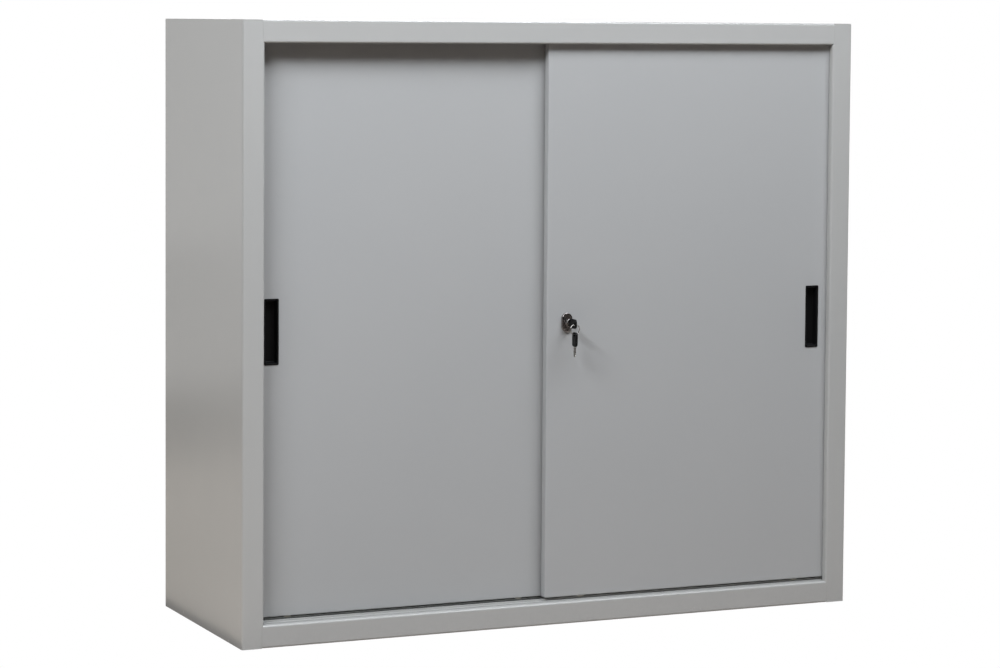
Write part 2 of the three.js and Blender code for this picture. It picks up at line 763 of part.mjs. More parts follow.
// A key drawn in its own plane: u runs from the bow's inner end to its outer end, v across it
function keyBlade() {
  const half = key.bladeWidth / 2;
  const tip = -key.neck - key.bladeLength;
  const points = [point(key.tang, half - key.fit), point(tip + key.tip, half), point(tip, half - key.tip)];
  points.push(point(tip, -half + key.tip), point(tip + key.tip, -half));
  cutDepths.toReversed().forEach((cutDepth, order) => {
    const place = -key.neck - key.firstCut - (cutDepths.length - 1 - order) * key.cutPitch;
    const flat = key.cutFlat / 2;
    points.push(point(place - cutDepth / 2 - flat, -half), point(place - flat, -half + cutDepth));
    points.push(point(place + flat, -half + cutDepth), point(place + cutDepth / 2 + flat, -half));
  });
  points.push(point(key.tang, -half + key.fit));
  return prism(points, 'alongZ', -key.bladeThickness / 2, key.bladeThickness / 2);
}

function keyBow() {
  const outline = roundedRectangle(key.bowLength, key.bowWidth, key.bowCorner, key.bowLength / 2, 0);
  const body = prism(outline, 'alongZ', -key.bowThickness / 2, key.bowThickness / 2);
  const hole = prism(roundedRectangle(2 * key.holeRadius, 2 * key.holeRadius, key.holeRadius,
    key.bowLength - key.holeFromEnd, 0), 'alongZ', -overrun, overrun);
  const slotU = key.bladeWidth / 2 + key.fit;
  const slotV = key.bladeThickness / 2 + key.fit;
  const pocket = block([-overrun, key.tang + key.fit], [-slotU, slotU], [-slotV, slotV]);
  return cut(body, hole, pocket);
}

// The key in the lock lies in the Y-Z plane with its bow towards the front, the spare one hangs bow up
const inLock = [0, -1, 0, 0, 0, 0, 1, 0, -1, 0, 0, 0, 0, 0, 0, 1];
const hanging = [0, 0, 1, 0, 0, 1, 0, 0, -1, 0, 0, 0, 0, 0, 0, 1];

function keyPlaces() {
  const bowStart = plungerFront - key.neck;
  const holeY = bowStart - key.bowLength + key.holeFromEnd;
  const coilReach = Math.hypot(ring.wire + ring.coilGap / 2, ring.wire / 2);
  const sink = key.holeRadius - runningGap - coilReach;
  const ringTop = lockHeight - sink;
  const ringCentre = ringTop - ring.radius;
  const spareHole = ringCentre - ring.radius - sink;
  const spareStart = spareHole + key.holeFromEnd - key.bowLength;
  return { bowStart, holeY, ringTop, ringCentre, spareStart, spareFront: -holeY + key.bowWidth / 2 };
}

// Split ring: two flat coils side by side, joined by a short crossing at one side
function keyRing() {
  const { holeY, ringCentre } = keyPlaces();
  const crossing = (share) => {
    const [start, end] = [0.5 - ring.crossShare, 0.5 + ring.crossShare];
    return THREE.MathUtils.smoothstep(share, start, end);
  };
  const path = new WoundPath(ring.radius, ring.turns, ring.wire + ring.coilGap, ring.startTurn, crossing);
  return wire(path, ring.wire / 2, ring.sides, Math.round(ring.turns * ring.stepsPerTurn))
    .translate([lockX, holeY, ringCentre]);
}

function addLock() {
  const { bowStart, holeY, spareStart } = keyPlaces();
  const inserted = (body) => body.transform(inLock).translate([lockX, bowStart, lockHeight]);
  const spare = (body) => body.transform(hanging).translate([lockX, holeY, spareStart]);
  addMesh('lock_housing', lockHousing(), 'chrome');
  addMesh('lock_nut', lockNut(), 'zinc');
  addMesh('lock_plunger', lockPlunger(), 'chrome');
  addMesh('lock_bolt', lockBolt(), 'zinc');
  addMesh('lock_plug', lockPlug(), 'nickel');
  addMesh('lock_spring', lockSpring(), 'zinc');
  addMesh('key_blade', inserted(keyBlade()), 'nickel');
  addMesh('key_bow', inserted(keyBow()), 'blackPlastic');
  addMesh('key_ring', keyRing(), 'nickel');
  addMesh('spare_key_blade', spare(keyBlade()), 'nickel');
  addMesh('spare_key_bow', spare(keyBow()), 'blackPlastic');
}

// Carcass
const sides = { left: -1, right: 1 };
addMesh('left_side_panel', sidePanel(sides.left), 'paint');
addMesh('right_side_panel', sidePanel(sides.right), 'paint');
addMesh('top_panel', topPanel(), 'paint');
addMesh('base_panel', basePanel(), 'paint');
addMesh('back_panel', backPanel(), 'paint');
addMesh('floor_stiffener', floorStiffener(), 'paint');
addMesh('top_guide_track', topGuideTrack(), 'aluminium');
addMesh('bottom_track', bottomTrack(), 'paint');

// Shelving
for (const [row, centre] of Object.entries(uprightCentres)) {
  for (const [side, sign] of Object.entries(sides)) {
    addMesh(`upright_${row}_${side}`, slottedUpright(sign, centre), 'paint');
    for (const [level, index] of Object.entries(shelfSlotIndexes)) {
      addMesh(`shelf_clip_${level}_${row}_${side}`, shelfClip(sign, centre, index), 'zinc');
    }
  }
}
for (const [level, index] of Object.entries(shelfSlotIndexes)) {
  addMesh(`shelf_${level}`, shelfTray(index), 'paint');
}

// Buffers on both sides of both tracks
for (const [side, sign] of Object.entries(sides)) {
  addMesh(`buffer_${side}_front_track`, doorBuffer(sign, frontTrack), 'rubber');
  addMesh(`buffer_${side}_rear_track`, doorBuffer(sign, rearTrack), 'rubber');
}

// Doors and lock
addDoor({
  name: 'left_door',
  left: -doorOuter,
  right: doorInner,
  face: doorSetback + doorPitch,
  pullX: -halfWidth + pull.centresFromSide.left,
  pullZ: pull.centreHeights.left,
});
addDoor({
  name: 'right_door',
  left: -doorInner,
  right: doorOuter,
  face: doorSetback,
  pullX: halfWidth - pull.centresFromSide.right,
  pullZ: pull.centreHeights.right,
  lockX,
});
addLock();

carcass.position.y = (keyReach() - depth) / 2;

export default cabinet;
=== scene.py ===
"""Steel cabinet with two sliding doors: finishes, fittings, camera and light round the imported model.

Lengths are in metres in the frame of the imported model: +X runs to the right as seen from the
front, the doors face -Y, and +Z is up.
"""
import json
import logging
import math
from collections.abc import Callable, Iterable, Sequence
from dataclasses import dataclass
from enum import Enum, StrEnum

import bmesh
import bpy
from mathutils import Matrix, Vector

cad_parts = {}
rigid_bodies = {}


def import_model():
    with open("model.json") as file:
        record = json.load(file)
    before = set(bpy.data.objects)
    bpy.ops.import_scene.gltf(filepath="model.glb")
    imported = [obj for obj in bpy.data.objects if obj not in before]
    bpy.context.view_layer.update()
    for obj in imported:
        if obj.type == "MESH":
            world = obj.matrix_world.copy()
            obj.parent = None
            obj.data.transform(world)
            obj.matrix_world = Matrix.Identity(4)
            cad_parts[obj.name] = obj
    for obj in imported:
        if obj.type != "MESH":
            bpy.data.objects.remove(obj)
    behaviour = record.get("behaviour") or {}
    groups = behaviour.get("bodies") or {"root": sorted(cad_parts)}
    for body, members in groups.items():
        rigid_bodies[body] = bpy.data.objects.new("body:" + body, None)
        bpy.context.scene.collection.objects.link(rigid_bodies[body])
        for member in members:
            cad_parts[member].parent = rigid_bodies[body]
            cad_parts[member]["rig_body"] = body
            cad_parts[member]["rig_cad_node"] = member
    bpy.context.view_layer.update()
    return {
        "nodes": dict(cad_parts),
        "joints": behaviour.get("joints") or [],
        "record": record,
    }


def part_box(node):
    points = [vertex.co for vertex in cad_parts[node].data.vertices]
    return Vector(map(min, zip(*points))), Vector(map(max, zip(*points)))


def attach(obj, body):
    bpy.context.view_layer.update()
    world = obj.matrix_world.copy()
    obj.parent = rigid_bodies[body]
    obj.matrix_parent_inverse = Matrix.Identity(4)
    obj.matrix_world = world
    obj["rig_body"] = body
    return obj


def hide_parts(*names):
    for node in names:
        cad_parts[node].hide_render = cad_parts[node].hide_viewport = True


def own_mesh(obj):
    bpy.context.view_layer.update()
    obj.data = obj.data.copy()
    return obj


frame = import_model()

log = logging.getLogger("cabinet")

MM = 0.001
X, Y, Z = range(3)
SIDES = ("left", "right")
DOORS = ("left_door", "right_door")

Colour = tuple[float, float, float]
Pair = tuple[float, float]
Profile = Iterable[Pair]
Number = "Signal | float"

WHITE: Colour = (1.0, 1.0, 1.0)
WARM: Colour = (1.03, 1.0, 0.97)
COOL: Colour = (0.967, 1.0, 1.065)
EVEN = (1.0, 1.0, 1.0)
NOISE_MIDDLE = 0.5


# Shader building


class Signal:
    """A number that varies over a surface, combined by ordinary arithmetic."""

    def __init__(self, tree: "Tree", socket: bpy.types.NodeSocket) -> None:
        """Wraps a socket of a tree.

        Args:
            tree: The node tree that the socket belongs to.
            socket: The output that carries the number.
        """
        self.tree = tree
        self.socket = socket

    def __add__(self, other: Number) -> "Signal":
        """The sum."""
        return self.tree.maths("ADD", self, other)

    __radd__ = __add__

    def __sub__(self, other: Number) -> "Signal":
        """The difference."""
        return self.tree.maths("SUBTRACT", self, other)

    def __rsub__(self, other: Number) -> "Signal":
        """The difference from a plain number."""
        return self.tree.maths("SUBTRACT", other, self)

    def __mul__(self, other: Number) -> "Signal":
        """The product."""
        return self.tree.maths("MULTIPLY", self, other)

    __rmul__ = __mul__

    def __truediv__(self, other: Number) -> "Signal":
        """The quotient."""
        return self.tree.maths("DIVIDE", self, other)

    def __pow__(self, other: Number) -> "Signal":
        """The power."""
        return self.tree.maths("POWER", self, other)

    def __abs__(self) -> "Signal":
        """The size without its sign."""
        return self.tree.maths("ABSOLUTE", self)

    def swing(self, amount: float) -> "Signal":
        """A noise about its middle, times an amount."""
        return (self - NOISE_MIDDLE) * amount

    def above(self, low: float, high: float) -> "Signal":
        """A smooth step from 0 at low to 1 at high.

        Args:
            low: Value where the step starts.
            high: Value where the step ends, which may be the lower one.

        Returns:
            The step, from 0 to 1.
        """
        ends = (low, high, 0.0, 1.0) if low < high else (high, low, 1.0, 0.0)
        inputs = {"Value": self} | dict(zip(("From Min", "From Max", "To Min", "To Max"), ends))
        made = self.tree.node("ShaderNodeMapRange", {"interpolation_type": "SMOOTHSTEP"}, inputs)
        return Signal(self.tree, made.outputs[0])


class Tree:
    """Node tree of a material or of the world. One method makes every node."""

    def __init__(self, owner: bpy.types.Material | bpy.types.World, space: str = "Object") -> None:
        """Starts an empty tree.

        Args:
            owner: The material or the world.
            space: Coordinates that the tree reads.
        """
        owner.use_nodes = True
        self.graph = owner.node_tree
        self.graph.nodes.clear()
        self.coordinates = self.node("ShaderNodeTexCoord").outputs[space]
        self.axes = self.node("ShaderNodeSeparateXYZ", inputs={0: self.coordinates})

    def node(
        self,
        kind: str,
        settings: dict[str, object] | None = None,
        inputs: dict[str | int, object] | None = None,
    ) -> bpy.types.Node:
        """Adds a node.

        Args:
            kind: Type of the node.
            settings: Properties, set first.
            inputs: Values or links for its sockets, by name or number.

        Returns:
            The new node.
        """
        made = self.graph.nodes.new(kind)
        for key, value in (settings or {}).items():
            setattr(made, key, value)
        for key, value in (inputs or {}).items():
            source = value.socket if isinstance(value, Signal) else value
            if isinstance(source, bpy.types.NodeSocket):
                self.graph.links.new(source, made.inputs[key])
            else:
                made.inputs[key].default_value = source
        return made

    def maths(self, operation: str, *values: Number) -> Signal:
        """A Math node on numbers or signals."""
        made = self.node("ShaderNodeMath", {"operation": operation}, dict(enumerate(values)))
        return Signal(self, made.outputs[0])

    def axis(self, index: int) -> Signal:
        """Place along X, Y or Z, in metres."""
        return Signal(self, self.axes.outputs[index])

    @staticmethod
    def length(first: Signal, second: Signal) -> Signal:
        """Length of the way that two offsets at right angles make."""
        return (first**2.0 + second**2.0) ** 0.5

    def stretched(self, grain: Sequence[float]) -> bpy.types.NodeSocket:
        """Coordinates scaled by a number for each axis."""
        return self.node("ShaderNodeMapping", inputs={0: self.coordinates, "Scale": grain}).outputs[0]

    def noise(self, size: float, detail: float, grain: Sequence[float] = EVEN) -> Signal:
        """Cloudy noise between 0 and 1.

        Args:
            size: Width of a cloud, in metres.
            detail: Number of finer layers.
            grain: Scale along each axis, for a brushed or drawn grain.

        Returns:
            The noise, with its middle at NOISE_MIDDLE.
        """
        vector = self.coordinates if grain == EVEN else self.stretched(grain)
        inputs = {"Vector": vector, "Scale": 1.0 / size, "Detail": detail}
        return Signal(self, self.node("ShaderNodeTexNoise", inputs=inputs).outputs[0])

    def cells(self, size: float) -> Signal:
        """Distance to the middle of random cells, for pores.

        Args:
            size: Width of a cell, in metres.

        Returns:
            The distance, as a share of a cell.
        """
        inputs = {"Vector": self.coordinates, "Scale": 1.0 / size}
        return Signal(self, self.node("ShaderNodeTexVoronoi", inputs=inputs).outputs["Distance"])

    def blend(self, share: Signal, first: Colour, second: Colour) -> bpy.types.NodeSocket:
        """Mixes two colours.

        Args:
            share: Share of the second colour.
            first: Colour where the share is 0.
            second: Colour where the share is 1.

        Returns:
            The mixed colour.
        """
        inputs = {0: share, 6: (*first, 1.0), 7: (*second, 1.0)}
        return self.node("ShaderNodeMix", {"data_type": "RGBA"}, inputs).outputs[2]

    def toned(self, colour: object, tone: Signal) -> bpy.types.NodeSocket:
        """A colour made lighter or darker.

        Args:
            colour: Colour or colour socket.
            tone: Factor on the colour.

        Returns:
            The colour times the tone.
        """
        made = self.node("ShaderNodeVectorMath", {"operation": "SCALE"}, {0: colour, "Scale": tone})
        return made.outputs[0]

    def finish(
        self,
        colour: bpy.types.NodeSocket,
        roughness: Signal,
        height: Signal,
        fixed: dict[str, object],
    ) -> None:
        """Closes the tree with a surface.

        Args:
            colour: Base colour.
            roughness: Roughness.
            height: Relief in metres.
            fixed: Values of other sockets, which are the same all over.
        """
        relief = self.node("ShaderNodeBump", inputs={"Strength": 1.0, "Distance": 1.0, "Height": height})
        varied = {"Roughness": roughness, "Normal": relief.outputs[0], "Base Color": colour}
        surface = self.node("ShaderNodeBsdfPrincipled", inputs=varied | fixed)
        self.node("ShaderNodeOutputMaterial", inputs={"Surface": surface.outputs[0]})

    def finish_backdrop(self, lit: bpy.types.Node, plain: bpy.types.Node, output: str) -> None:
        """Closes the tree with a plain shader for the camera and another for the light.

        Args:
            lit: Shader that reflections and shadows meet.
            plain: Shader that the camera sees.
            output: Type of the output node.
        """
        seen = self.node("ShaderNodeLightPath").outputs["Is Camera Ray"]
        inputs = {0: seen, 1: lit.outputs[0], 2: plain.outputs[0]}
        shown = self.node("ShaderNodeMixShader", inputs=inputs)
        self.node(output, inputs={"Surface": shown.outputs[0]})


# Finishes


@dataclass(frozen=True)
class Finish:
    """What every finish has: a name, a colour and a roughness."""

    name: str
    colour: Colour
    roughness: float

    def material(self) -> bpy.types.Material:
        """Makes the material.

        Returns:
            The material, with its nodes.
        """
        made = bpy.data.materials.new(self.name)
        self.paint(Tree(made))
        return made

    def paint(self, tree: Tree) -> None:
        """Builds the nodes, as each kind of finish has them."""
        raise NotImplementedError


@dataclass(frozen=True)
class PowderCoat(Finish):
    """Semi-matt powder coat on folded steel sheet."""

    cloud_size: float = 0.4
    patch_size: float = 0.05
    fleck_size: float = 0.7 * MM
    tone_swing: float = 0.05
    gloss_swing: float = 0.08
    warm_share: float = 0.3
    refraction: float = 1.5
    peel_height: float = 0.004 * MM
    peel_size: float = 2.6 * MM
    ripple_height: float = 0.16 * MM
    ripple_size: float = 0.30
    mark_and_shade_tone: float = 0.03
    dust_top: float = 0.06
    dust_size: float = 6 * MM
    dust_band: Pair = (0.35, 0.75)
    dust_haze: float = 0.03
    handled: tuple[Pair, ...] = ()
    hand_reach: Pair = (0.11, 0.02)
    hand_polish: float = 0.10
    weld_pitch: float = 0.12
    weld_inset: float = 9 * MM
    weld_depth: float = 0.3 * MM
    weld_radius: Pair = (2.8 * MM, 2.1 * MM)
    weld_skin: Pair = (0.6 * MM, 0.4 * MM)

    def paint(self, tree: Tree) -> None:
        """Builds clouds and flecks, peel and ripple, dust, handled places, and spot welds with painted shade
        in their dimples.

        Args:
            tree: The material's tree.
        """
        cloud = tree.noise(self.cloud_size, detail=2.0)
        fleck = tree.noise(self.fleck_size, detail=1.0)
        patch = tree.noise(self.patch_size, detail=3.0)
        dust = self._dust(tree)
        tone = 1.0 + cloud.swing(self.tone_swing) + fleck.swing(self.tone_swing) - dust * self.mark_and_shade_tone
        roughness = self.roughness + patch.swing(self.gloss_swing) + dust * self.dust_haze
        for x, z in self.handled:
            touched = self._near(tree, x, z) * patch
            roughness = roughness - touched * self.hand_polish
            tone = tone - touched * self.mark_and_shade_tone
        peel = tree.noise(self.peel_size, detail=2.0) * self.peel_height
        ripple = tree.noise(self.ripple_size, detail=0.0) * self.ripple_height
        height = peel + ripple
        if self.weld_pitch > 0:
            weld_dimples_and_shade = self._welds(tree)
            height = height - weld_dimples_and_shade * self.weld_depth
            # Painted shade: the weld dimples are also darkened in colour, not only sunk.
            tone = tone - weld_dimples_and_shade * self.mark_and_shade_tone
        warmer = tuple(channel * factor for channel, factor in zip(self.colour, WARM))
        colour = tree.blend(cloud * self.warm_share, self.colour, warmer)
        tree.finish(tree.toned(colour, tone), roughness, height, {"IOR": self.refraction})

    def _dust(self, tree: Tree) -> Signal:
        """Thin dust and scuffs that fade out a hand's width above the floor."""
        grit = tree.noise(self.dust_size, detail=4.0).above(*self.dust_band)
        return tree.axis(Z).above(self.dust_top, 0.0) * grit

    def _near(self, tree: Tree, x: float, z: float) -> Signal:
        """Closeness to a place that is touched.

        Args:
            tree: The material's tree.
            x: Place to the right, in metres.
            z: Place above the floor, in metres.

        Returns:
            1 at the place, 0 a hand's width away.
        """
        return tree.length(tree.axis(X) - x, tree.axis(Z) - z).above(*self.hand_reach)

    def _welds(self, tree: Tree) -> Signal:
        """Shallow round spot welds down the rear flanges.

        Args:
            tree: The material's tree.

        Returns:
            1 in a weld, 0 beside it.
        """
        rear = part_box("left_side_panel")[1].y
        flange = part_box("top_panel")[1].x - self.weld_inset
        across = abs(abs(tree.axis(X)) - flange)
        upward = tree.maths("FRACT", tree.axis(Z) / self.weld_pitch).swing(self.weld_pitch)
        spot = tree.length(across, upward).above(*self.weld_radius)
        return spot * tree.axis(Y).above(*(rear - depth for depth in self.weld_skin))


@dataclass(frozen=True)
class Plating(Finish):
    """Plated metal: zinc, nickel or chrome."""

    tint: Colour
    tint_share: float = 0.3
    bloom_size: float = 9 * MM
    grain: tuple[float, float, float] = EVEN
    grain_size: float = 0.9 * MM
    grain_share: float = 0.1
    relief: float = 0.002 * MM
    smudge_size: float = 4 * MM
    smudge_band: Pair = (0.5, 0.75)
    smudge_tone: float = 0.06
    smudge_haze: float = 0.09

    def paint(self, tree: Tree) -> None:
        """Builds a tinted bloom, a brushed grain and smudges.

        Args:
            tree: The material's tree.
        """
        bloom = tree.noise(self.bloom_size, detail=3.0)
        brushed = tree.noise(self.grain_size, detail=4.0, grain=self.grain)
        smudge = tree.noise(self.smudge_size, detail=3.0).above(*self.smudge_band)
        colour = tree.blend(bloom * self.tint_share, self.colour, self.tint)
        tone = 1.0 - smudge * self.smudge_tone + brushed.swing(self.grain_share)
        roughness = self.roughness + smudge * self.smudge_haze + brushed.swing(self.grain_share)
        tree.finish(tree.toned(colour, tone), roughness, brushed * self.relief, {"Metallic": 1.0})


@dataclass(frozen=True)
class Moulding(Finish):
    """Moulded plastic or rubber with a fine grain."""

    pore_size: float = 0.45 * MM
    pore_depth: float = 0.018 * MM
    pore_middle: float = 0.4
    pore_tone: float = 0.15
    flow_size: float = 12 * MM
    flow_grain: tuple[float, float, float] = (1.0, 1.0, 0.35)
    flow_gloss: float = 0.12
    worn_size: float = 3 * MM
    worn_band: Pair = (0.55, 0.8)
    worn_polish: float = 0.08
    bloom: Colour = (0.03, 0.03, 0.03)
    bloom_share: float = 0.5
    glow: float = 0.0
    glow_radius: tuple[float, float, float] = (2 * MM, 2 * MM, 1.5 * MM)
    specular: float = 0.5

    def paint(self, tree: Tree) -> None:
        """Builds pores, a pale bloom along the flow, and worn patches.

        Args:
            tree: The material's tree.
        """
        pores = tree.cells(self.pore_size)
        flow = tree.noise(self.flow_size, detail=3.0, grain=self.flow_grain)
        worn = tree.noise(self.worn_size, detail=4.0).above(*self.worn_band)
        colour = tree.blend(flow * self.bloom_share, self.colour, self.bloom)
        tone = 1.0 + (pores - self.pore_middle) * self.pore_tone
        roughness = self.roughness + flow.swing(self.flow_gloss) - worn * self.worn_polish
        fixed = {
            "Subsurface Weight": self.glow,
            "Subsurface Radius": self.glow_radius,
            "Specular IOR Level": self.specular,
        }
        tree.finish(tree.toned(colour, tone), roughness, pores * self.pore_depth, fixed)


@dataclass(frozen=True)
class Extrusion(Finish):
    """Mill-finish aluminium with die lines along X."""

    line_size: float = 0.6 * MM
    line_grain: tuple[float, float, float] = (0.004, 1.0, 1.0)
    line_share: float = 0.1
    line_depth: float = 0.0012 * MM
    bloom_size: float = 0.03
    bloom_tone: float = 0.08
    rolled_size: float = 6 * MM
    rolled_grain: tuple[float, float, float] = (0.1, 1.0, 1.0)
    rolled_band: Pair = (0.45, 0.7)
    rolled_polish: float = 0.04

    def paint(self, tree: Tree) -> None:
        """Builds die lines, a dull bloom and rolled streaks.

        Args:
            tree: The material's tree.
        """
        lines = tree.noise(self.line_size, detail=3.0, grain=self.line_grain)
        bloom = tree.noise(self.bloom_size, detail=3.0)
        rolled = tree.noise(self.rolled_size, detail=3.0, grain=self.rolled_grain).above(*self.rolled_band)
        tone = 1.0 + lines.swing(self.line_share) - bloom * self.bloom_tone
        roughness = self.roughness + lines.swing(self.line_share) - rolled * self.rolled_polish
        tree.finish(tree.toned(self.colour, tone), roughness, lines * self.line_depth, {"Metallic": 1.0})


class Slot(StrEnum):
    """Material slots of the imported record."""

    CARCASS_PAINT = "carcass_paint"
    DOOR_PAINT = "door_paint"
    ZINC = "zinc"
    ALUMINIUM = "aluminium"
    CHROME = "chrome"
    NICKEL = "nickel"
    BLACK_PLASTIC = "black_plastic"
    NYLON = "nylon"
    RUBBER = "rubber"


# Places of the two pulls and of the lock, to the right and above the floor.
HANDLED = ((-0.535, 0.548), (0.530, 0.542), (0.0215, 0.548))

FINISHES: dict[Slot, Finish] = {
    Slot.CARCASS_PAINT: PowderCoat("carcass_powder_coat", (0.45, 0.453, 0.437), 0.24),
    Slot.DOOR_PAINT: PowderCoat(
        "door_powder_coat", (0.428, 0.436, 0.432), 0.42, ripple_height=0.1 * MM, weld_pitch=0.0,
        handled=HANDLED,
    ),
    Slot.ZINC: Plating("bright_zinc", (0.52, 0.54, 0.56), 0.3, (0.6, 0.57, 0.46)),
    Slot.ALUMINIUM: Extrusion("mill_aluminium", (0.56, 0.57, 0.58), 0.34),
    # The chrome's colour is kept far darker than bright chrome: a painted reflection of a dark room.
    Slot.CHROME: Plating(
        "polished_chrome", (0.32, 0.3, 0.29), 0.24, (0.27, 0.25, 0.24), grain_size=0.3 * MM,
        relief=0.0004 * MM,
    ),
    Slot.NICKEL: Plating(
        "satin_nickel", (0.47, 0.46, 0.43), 0.26, (0.46, 0.43, 0.37), grain=(1.0, 1.0, 0.06),
        relief=0.003 * MM, grain_size=0.25 * MM,
    ),
    Slot.BLACK_PLASTIC: Moulding(
        "black_moulding", (0.003, 0.003, 0.0031), 0.5, bloom=(0.008, 0.008, 0.008), specular=0.2
    ),
    Slot.NYLON: Moulding(
        "natural_nylon", (0.5, 0.48, 0.42), 0.4, pore_depth=0.006 * MM, bloom=(0.42, 0.38, 0.3), glow=0.1
    ),
    Slot.RUBBER: Moulding(
        "black_rubber", (0.018, 0.018, 0.018), 0.8, pore_size=0.8 * MM, bloom=(0.05, 0.047, 0.042)
    ),
}


class Paintshop:
    """Makes each finish once and gives it to pieces by material slot."""

    def __init__(self) -> None:
        """Makes every finish."""
        self.materials = {slot: finish.material() for slot, finish in FINISHES.items()}

    def dress_nodes(self) -> None:
        """Gives each carried-over node its finish."""
        slots = {row["node"]: Slot(row["material_slot"]) for row in frame["record"]["subparts"]}
        for name, node in frame["nodes"].items():
            self.dress(node, slots[name])

    def dress(self, piece: bpy.types.Object, slot: Slot) -> None:
        """Gives one piece its finish.

        Args:
            piece: The piece.
            slot: Its material slot.
        """
        if not piece.material_slots:
            piece.data.materials.append(self.materials[slot])
        for place in piece.material_slots:
            place.material = self.materials[slot]


# Modelling


class Part(Enum):
    """What a selection takes."""

    FACES = "FACE"
    EDGES = "EDGE"


class Joining(Enum):
    """What one workpiece does to another."""

    CUT = "DIFFERENCE"
    ADD = "UNION"


Test = Callable[[Vector, Vector], bool]

# How near counts as the same, how straight as along an axis, and how far a cutter reaches past.
SAME_PLACE = 1e-6
SAME_NODE_PLACE = 2e-6
LEVEL = 0.01 * MM
PARALLEL = 0.99
FACING = 0.9
CUT_PAST = 1 * MM


class Workpiece:
    """A mesh on the bench, shaped step by step in edit mode."""

    def __init__(self, name: str) -> None:
        """Takes what was just added to the scene.

        Args:
            name: Name of the piece.
        """
        self.obj = bpy.context.object
        self.obj.name = name
        self.obj.data.name = name
        bpy.ops.object.transform_apply(location=True, rotation=True, scale=True)

    @staticmethod
    def clear_bench() -> None:
        """Leaves edit mode and deselects everything."""
        if bpy.context.mode != "OBJECT":
            bpy.ops.object.mode_set(mode="OBJECT")
        bpy.ops.object.select_all(action="DESELECT")

    @staticmethod
    def take(obj: bpy.types.Object, new: bool = False) -> None:
        """Selects one object alone and makes it active.

        Args:
            obj: The object.
            new: Whether it still has to be linked to the scene.
        """
        Workpiece.clear_bench()
        if new:
            bpy.context.scene.collection.objects.link(obj)
        obj.select_set(True)
        bpy.context.view_layer.objects.active = obj

    @classmethod
    def block(cls, name: str, low: Vector, high: Vector) -> "Workpiece":
        """Starts from a box.

        Args:
            name: Name of the piece.
            low: Lowest corner.
            high: Highest corner.

        Returns:
            The workpiece.
        """
        cls.clear_bench()
        bpy.ops.mesh.primitive_cube_add(size=1.0, location=(low + high) / 2, scale=high - low)
        return cls(name)

    @classmethod
    def turned(cls, name: str, profile: Profile, centre: Vector, steps: int) -> "Workpiece":
        """Starts from a profile spun about an axis along Y.

        Args:
            name: Name of the piece.
            profile: Radius and place along Y of each point.
            centre: A point on the axis, whose Y is not used.
            steps: Number of steps round the axis.

        Returns:
            The workpiece.
        """
        cls.clear_bench()
        bpy.ops.mesh.primitive_plane_add(size=1.0, location=(0, 0, 0))
        piece = cls(name)
        shape = bmesh.new()
        points = [shape.verts.new((centre.x + radius, y, centre.z)) for radius, y in profile]
        for first, second in zip(points, points[1:]):
            shape.edges.new((first, second))
        shape.to_mesh(piece.obj.data)
        shape.free()
        bpy.ops.object.mode_set(mode="EDIT")
        bpy.ops.mesh.select_all(action="SELECT")
        bpy.ops.mesh.spin(
            steps=steps, angle=2 * math.pi, center=(centre.x, 0, centre.z), axis=(0, 1, 0)
        )
        bpy.ops.mesh.select_all(action="SELECT")
        bpy.ops.mesh.remove_doubles(threshold=SAME_PLACE)
        bpy.ops.mesh.normals_make_consistent(inside=False)
        bpy.ops.object.mode_set(mode="OBJECT")
        return piece

    @classmethod
    def wound(cls, name: str, wire: float, route: Iterable[Vector], sides: int) -> "Workpiece":
        """Starts from round wire along a route.

        Args:
            name: Name of the piece.
            wire: Thickness of the wire.
            route: Places along its middle line.
            sides: Fineness of its round section.

        Returns:
            The workpiece.
        """
        curve = bpy.data.curves.new(name, "CURVE")
        curve.dimensions = "3D"
        curve.bevel_depth = wire / 2
        curve.bevel_resolution = sides
        curve.use_fill_caps = True
        places = list(route)
        line = curve.splines.new("POLY")
        line.points.add(len(places) - 1)
        for point, place in zip(line.points, places):
            point.co = (*place, 1.0)
        cls.take(bpy.data.objects.new(name, curve), new=True)
        bpy.ops.object.convert(target="MESH")
        return cls(name)

    @classmethod
    def copy_of_node(cls, name: str, node: str) -> "Workpiece":
        """Starts from a merged copy of a carried-over node.

        Args:
            name: Name of the piece.
            node: Name of the node.

        Returns:
            The workpiece, free of the node's body.
        """
        cls.take(frame["nodes"][node])
        bpy.ops.object.duplicate()
        made = bpy.context.object
        made.parent = None
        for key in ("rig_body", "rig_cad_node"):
            if key in made:
                del made[key]
        piece = cls(name)
        piece.edit()
        bpy.ops.mesh.select_all(action="SELECT")
        bpy.ops.mesh.remove_doubles(threshold=SAME_NODE_PLACE)
        bpy.ops.mesh.tris_convert_to_quads()
        bpy.ops.object.mode_set(mode="OBJECT")
        return piece

    def edit(self) -> None:
        """Opens this piece alone in edit mode."""
        self.take(self.obj)
        bpy.ops.object.mode_set(mode="EDIT")

    def select(self, part: Part, test: Test) -> int:
        """Selects faces or edges by place and direction.

        Args:
            part: Faces or edges.
            test: Takes the middle and the normal of a face, or the middle and the direction of an
                edge, and says whether it is selected.

        Returns:
            The number selected.
        """
        self.edit()
        bpy.ops.mesh.select_mode(type=part.value)
        bpy.ops.mesh.select_all(action="DESELECT")
        shape = bmesh.from_edit_mesh(self.obj.data)
        if part is Part.FACES:
            chosen = [face for face in shape.faces if test(face.calc_center_median(), face.normal)]
        else:
            chosen = [edge for edge in shape.edges if test(*self._middle_and_way(edge))]
        for item in chosen:
            item.select_set(True)
        bmesh.update_edit_mesh(self.obj.data)
        return len(chosen)

    @staticmethod
    def _middle_and_way(edge: bmesh.types.BMEdge) -> tuple[Vector, Vector]:
        """Middle and direction of an edge."""
        first, second = (vertex.co for vertex in edge.verts)
        return (first + second) / 2, (second - first).normalized()

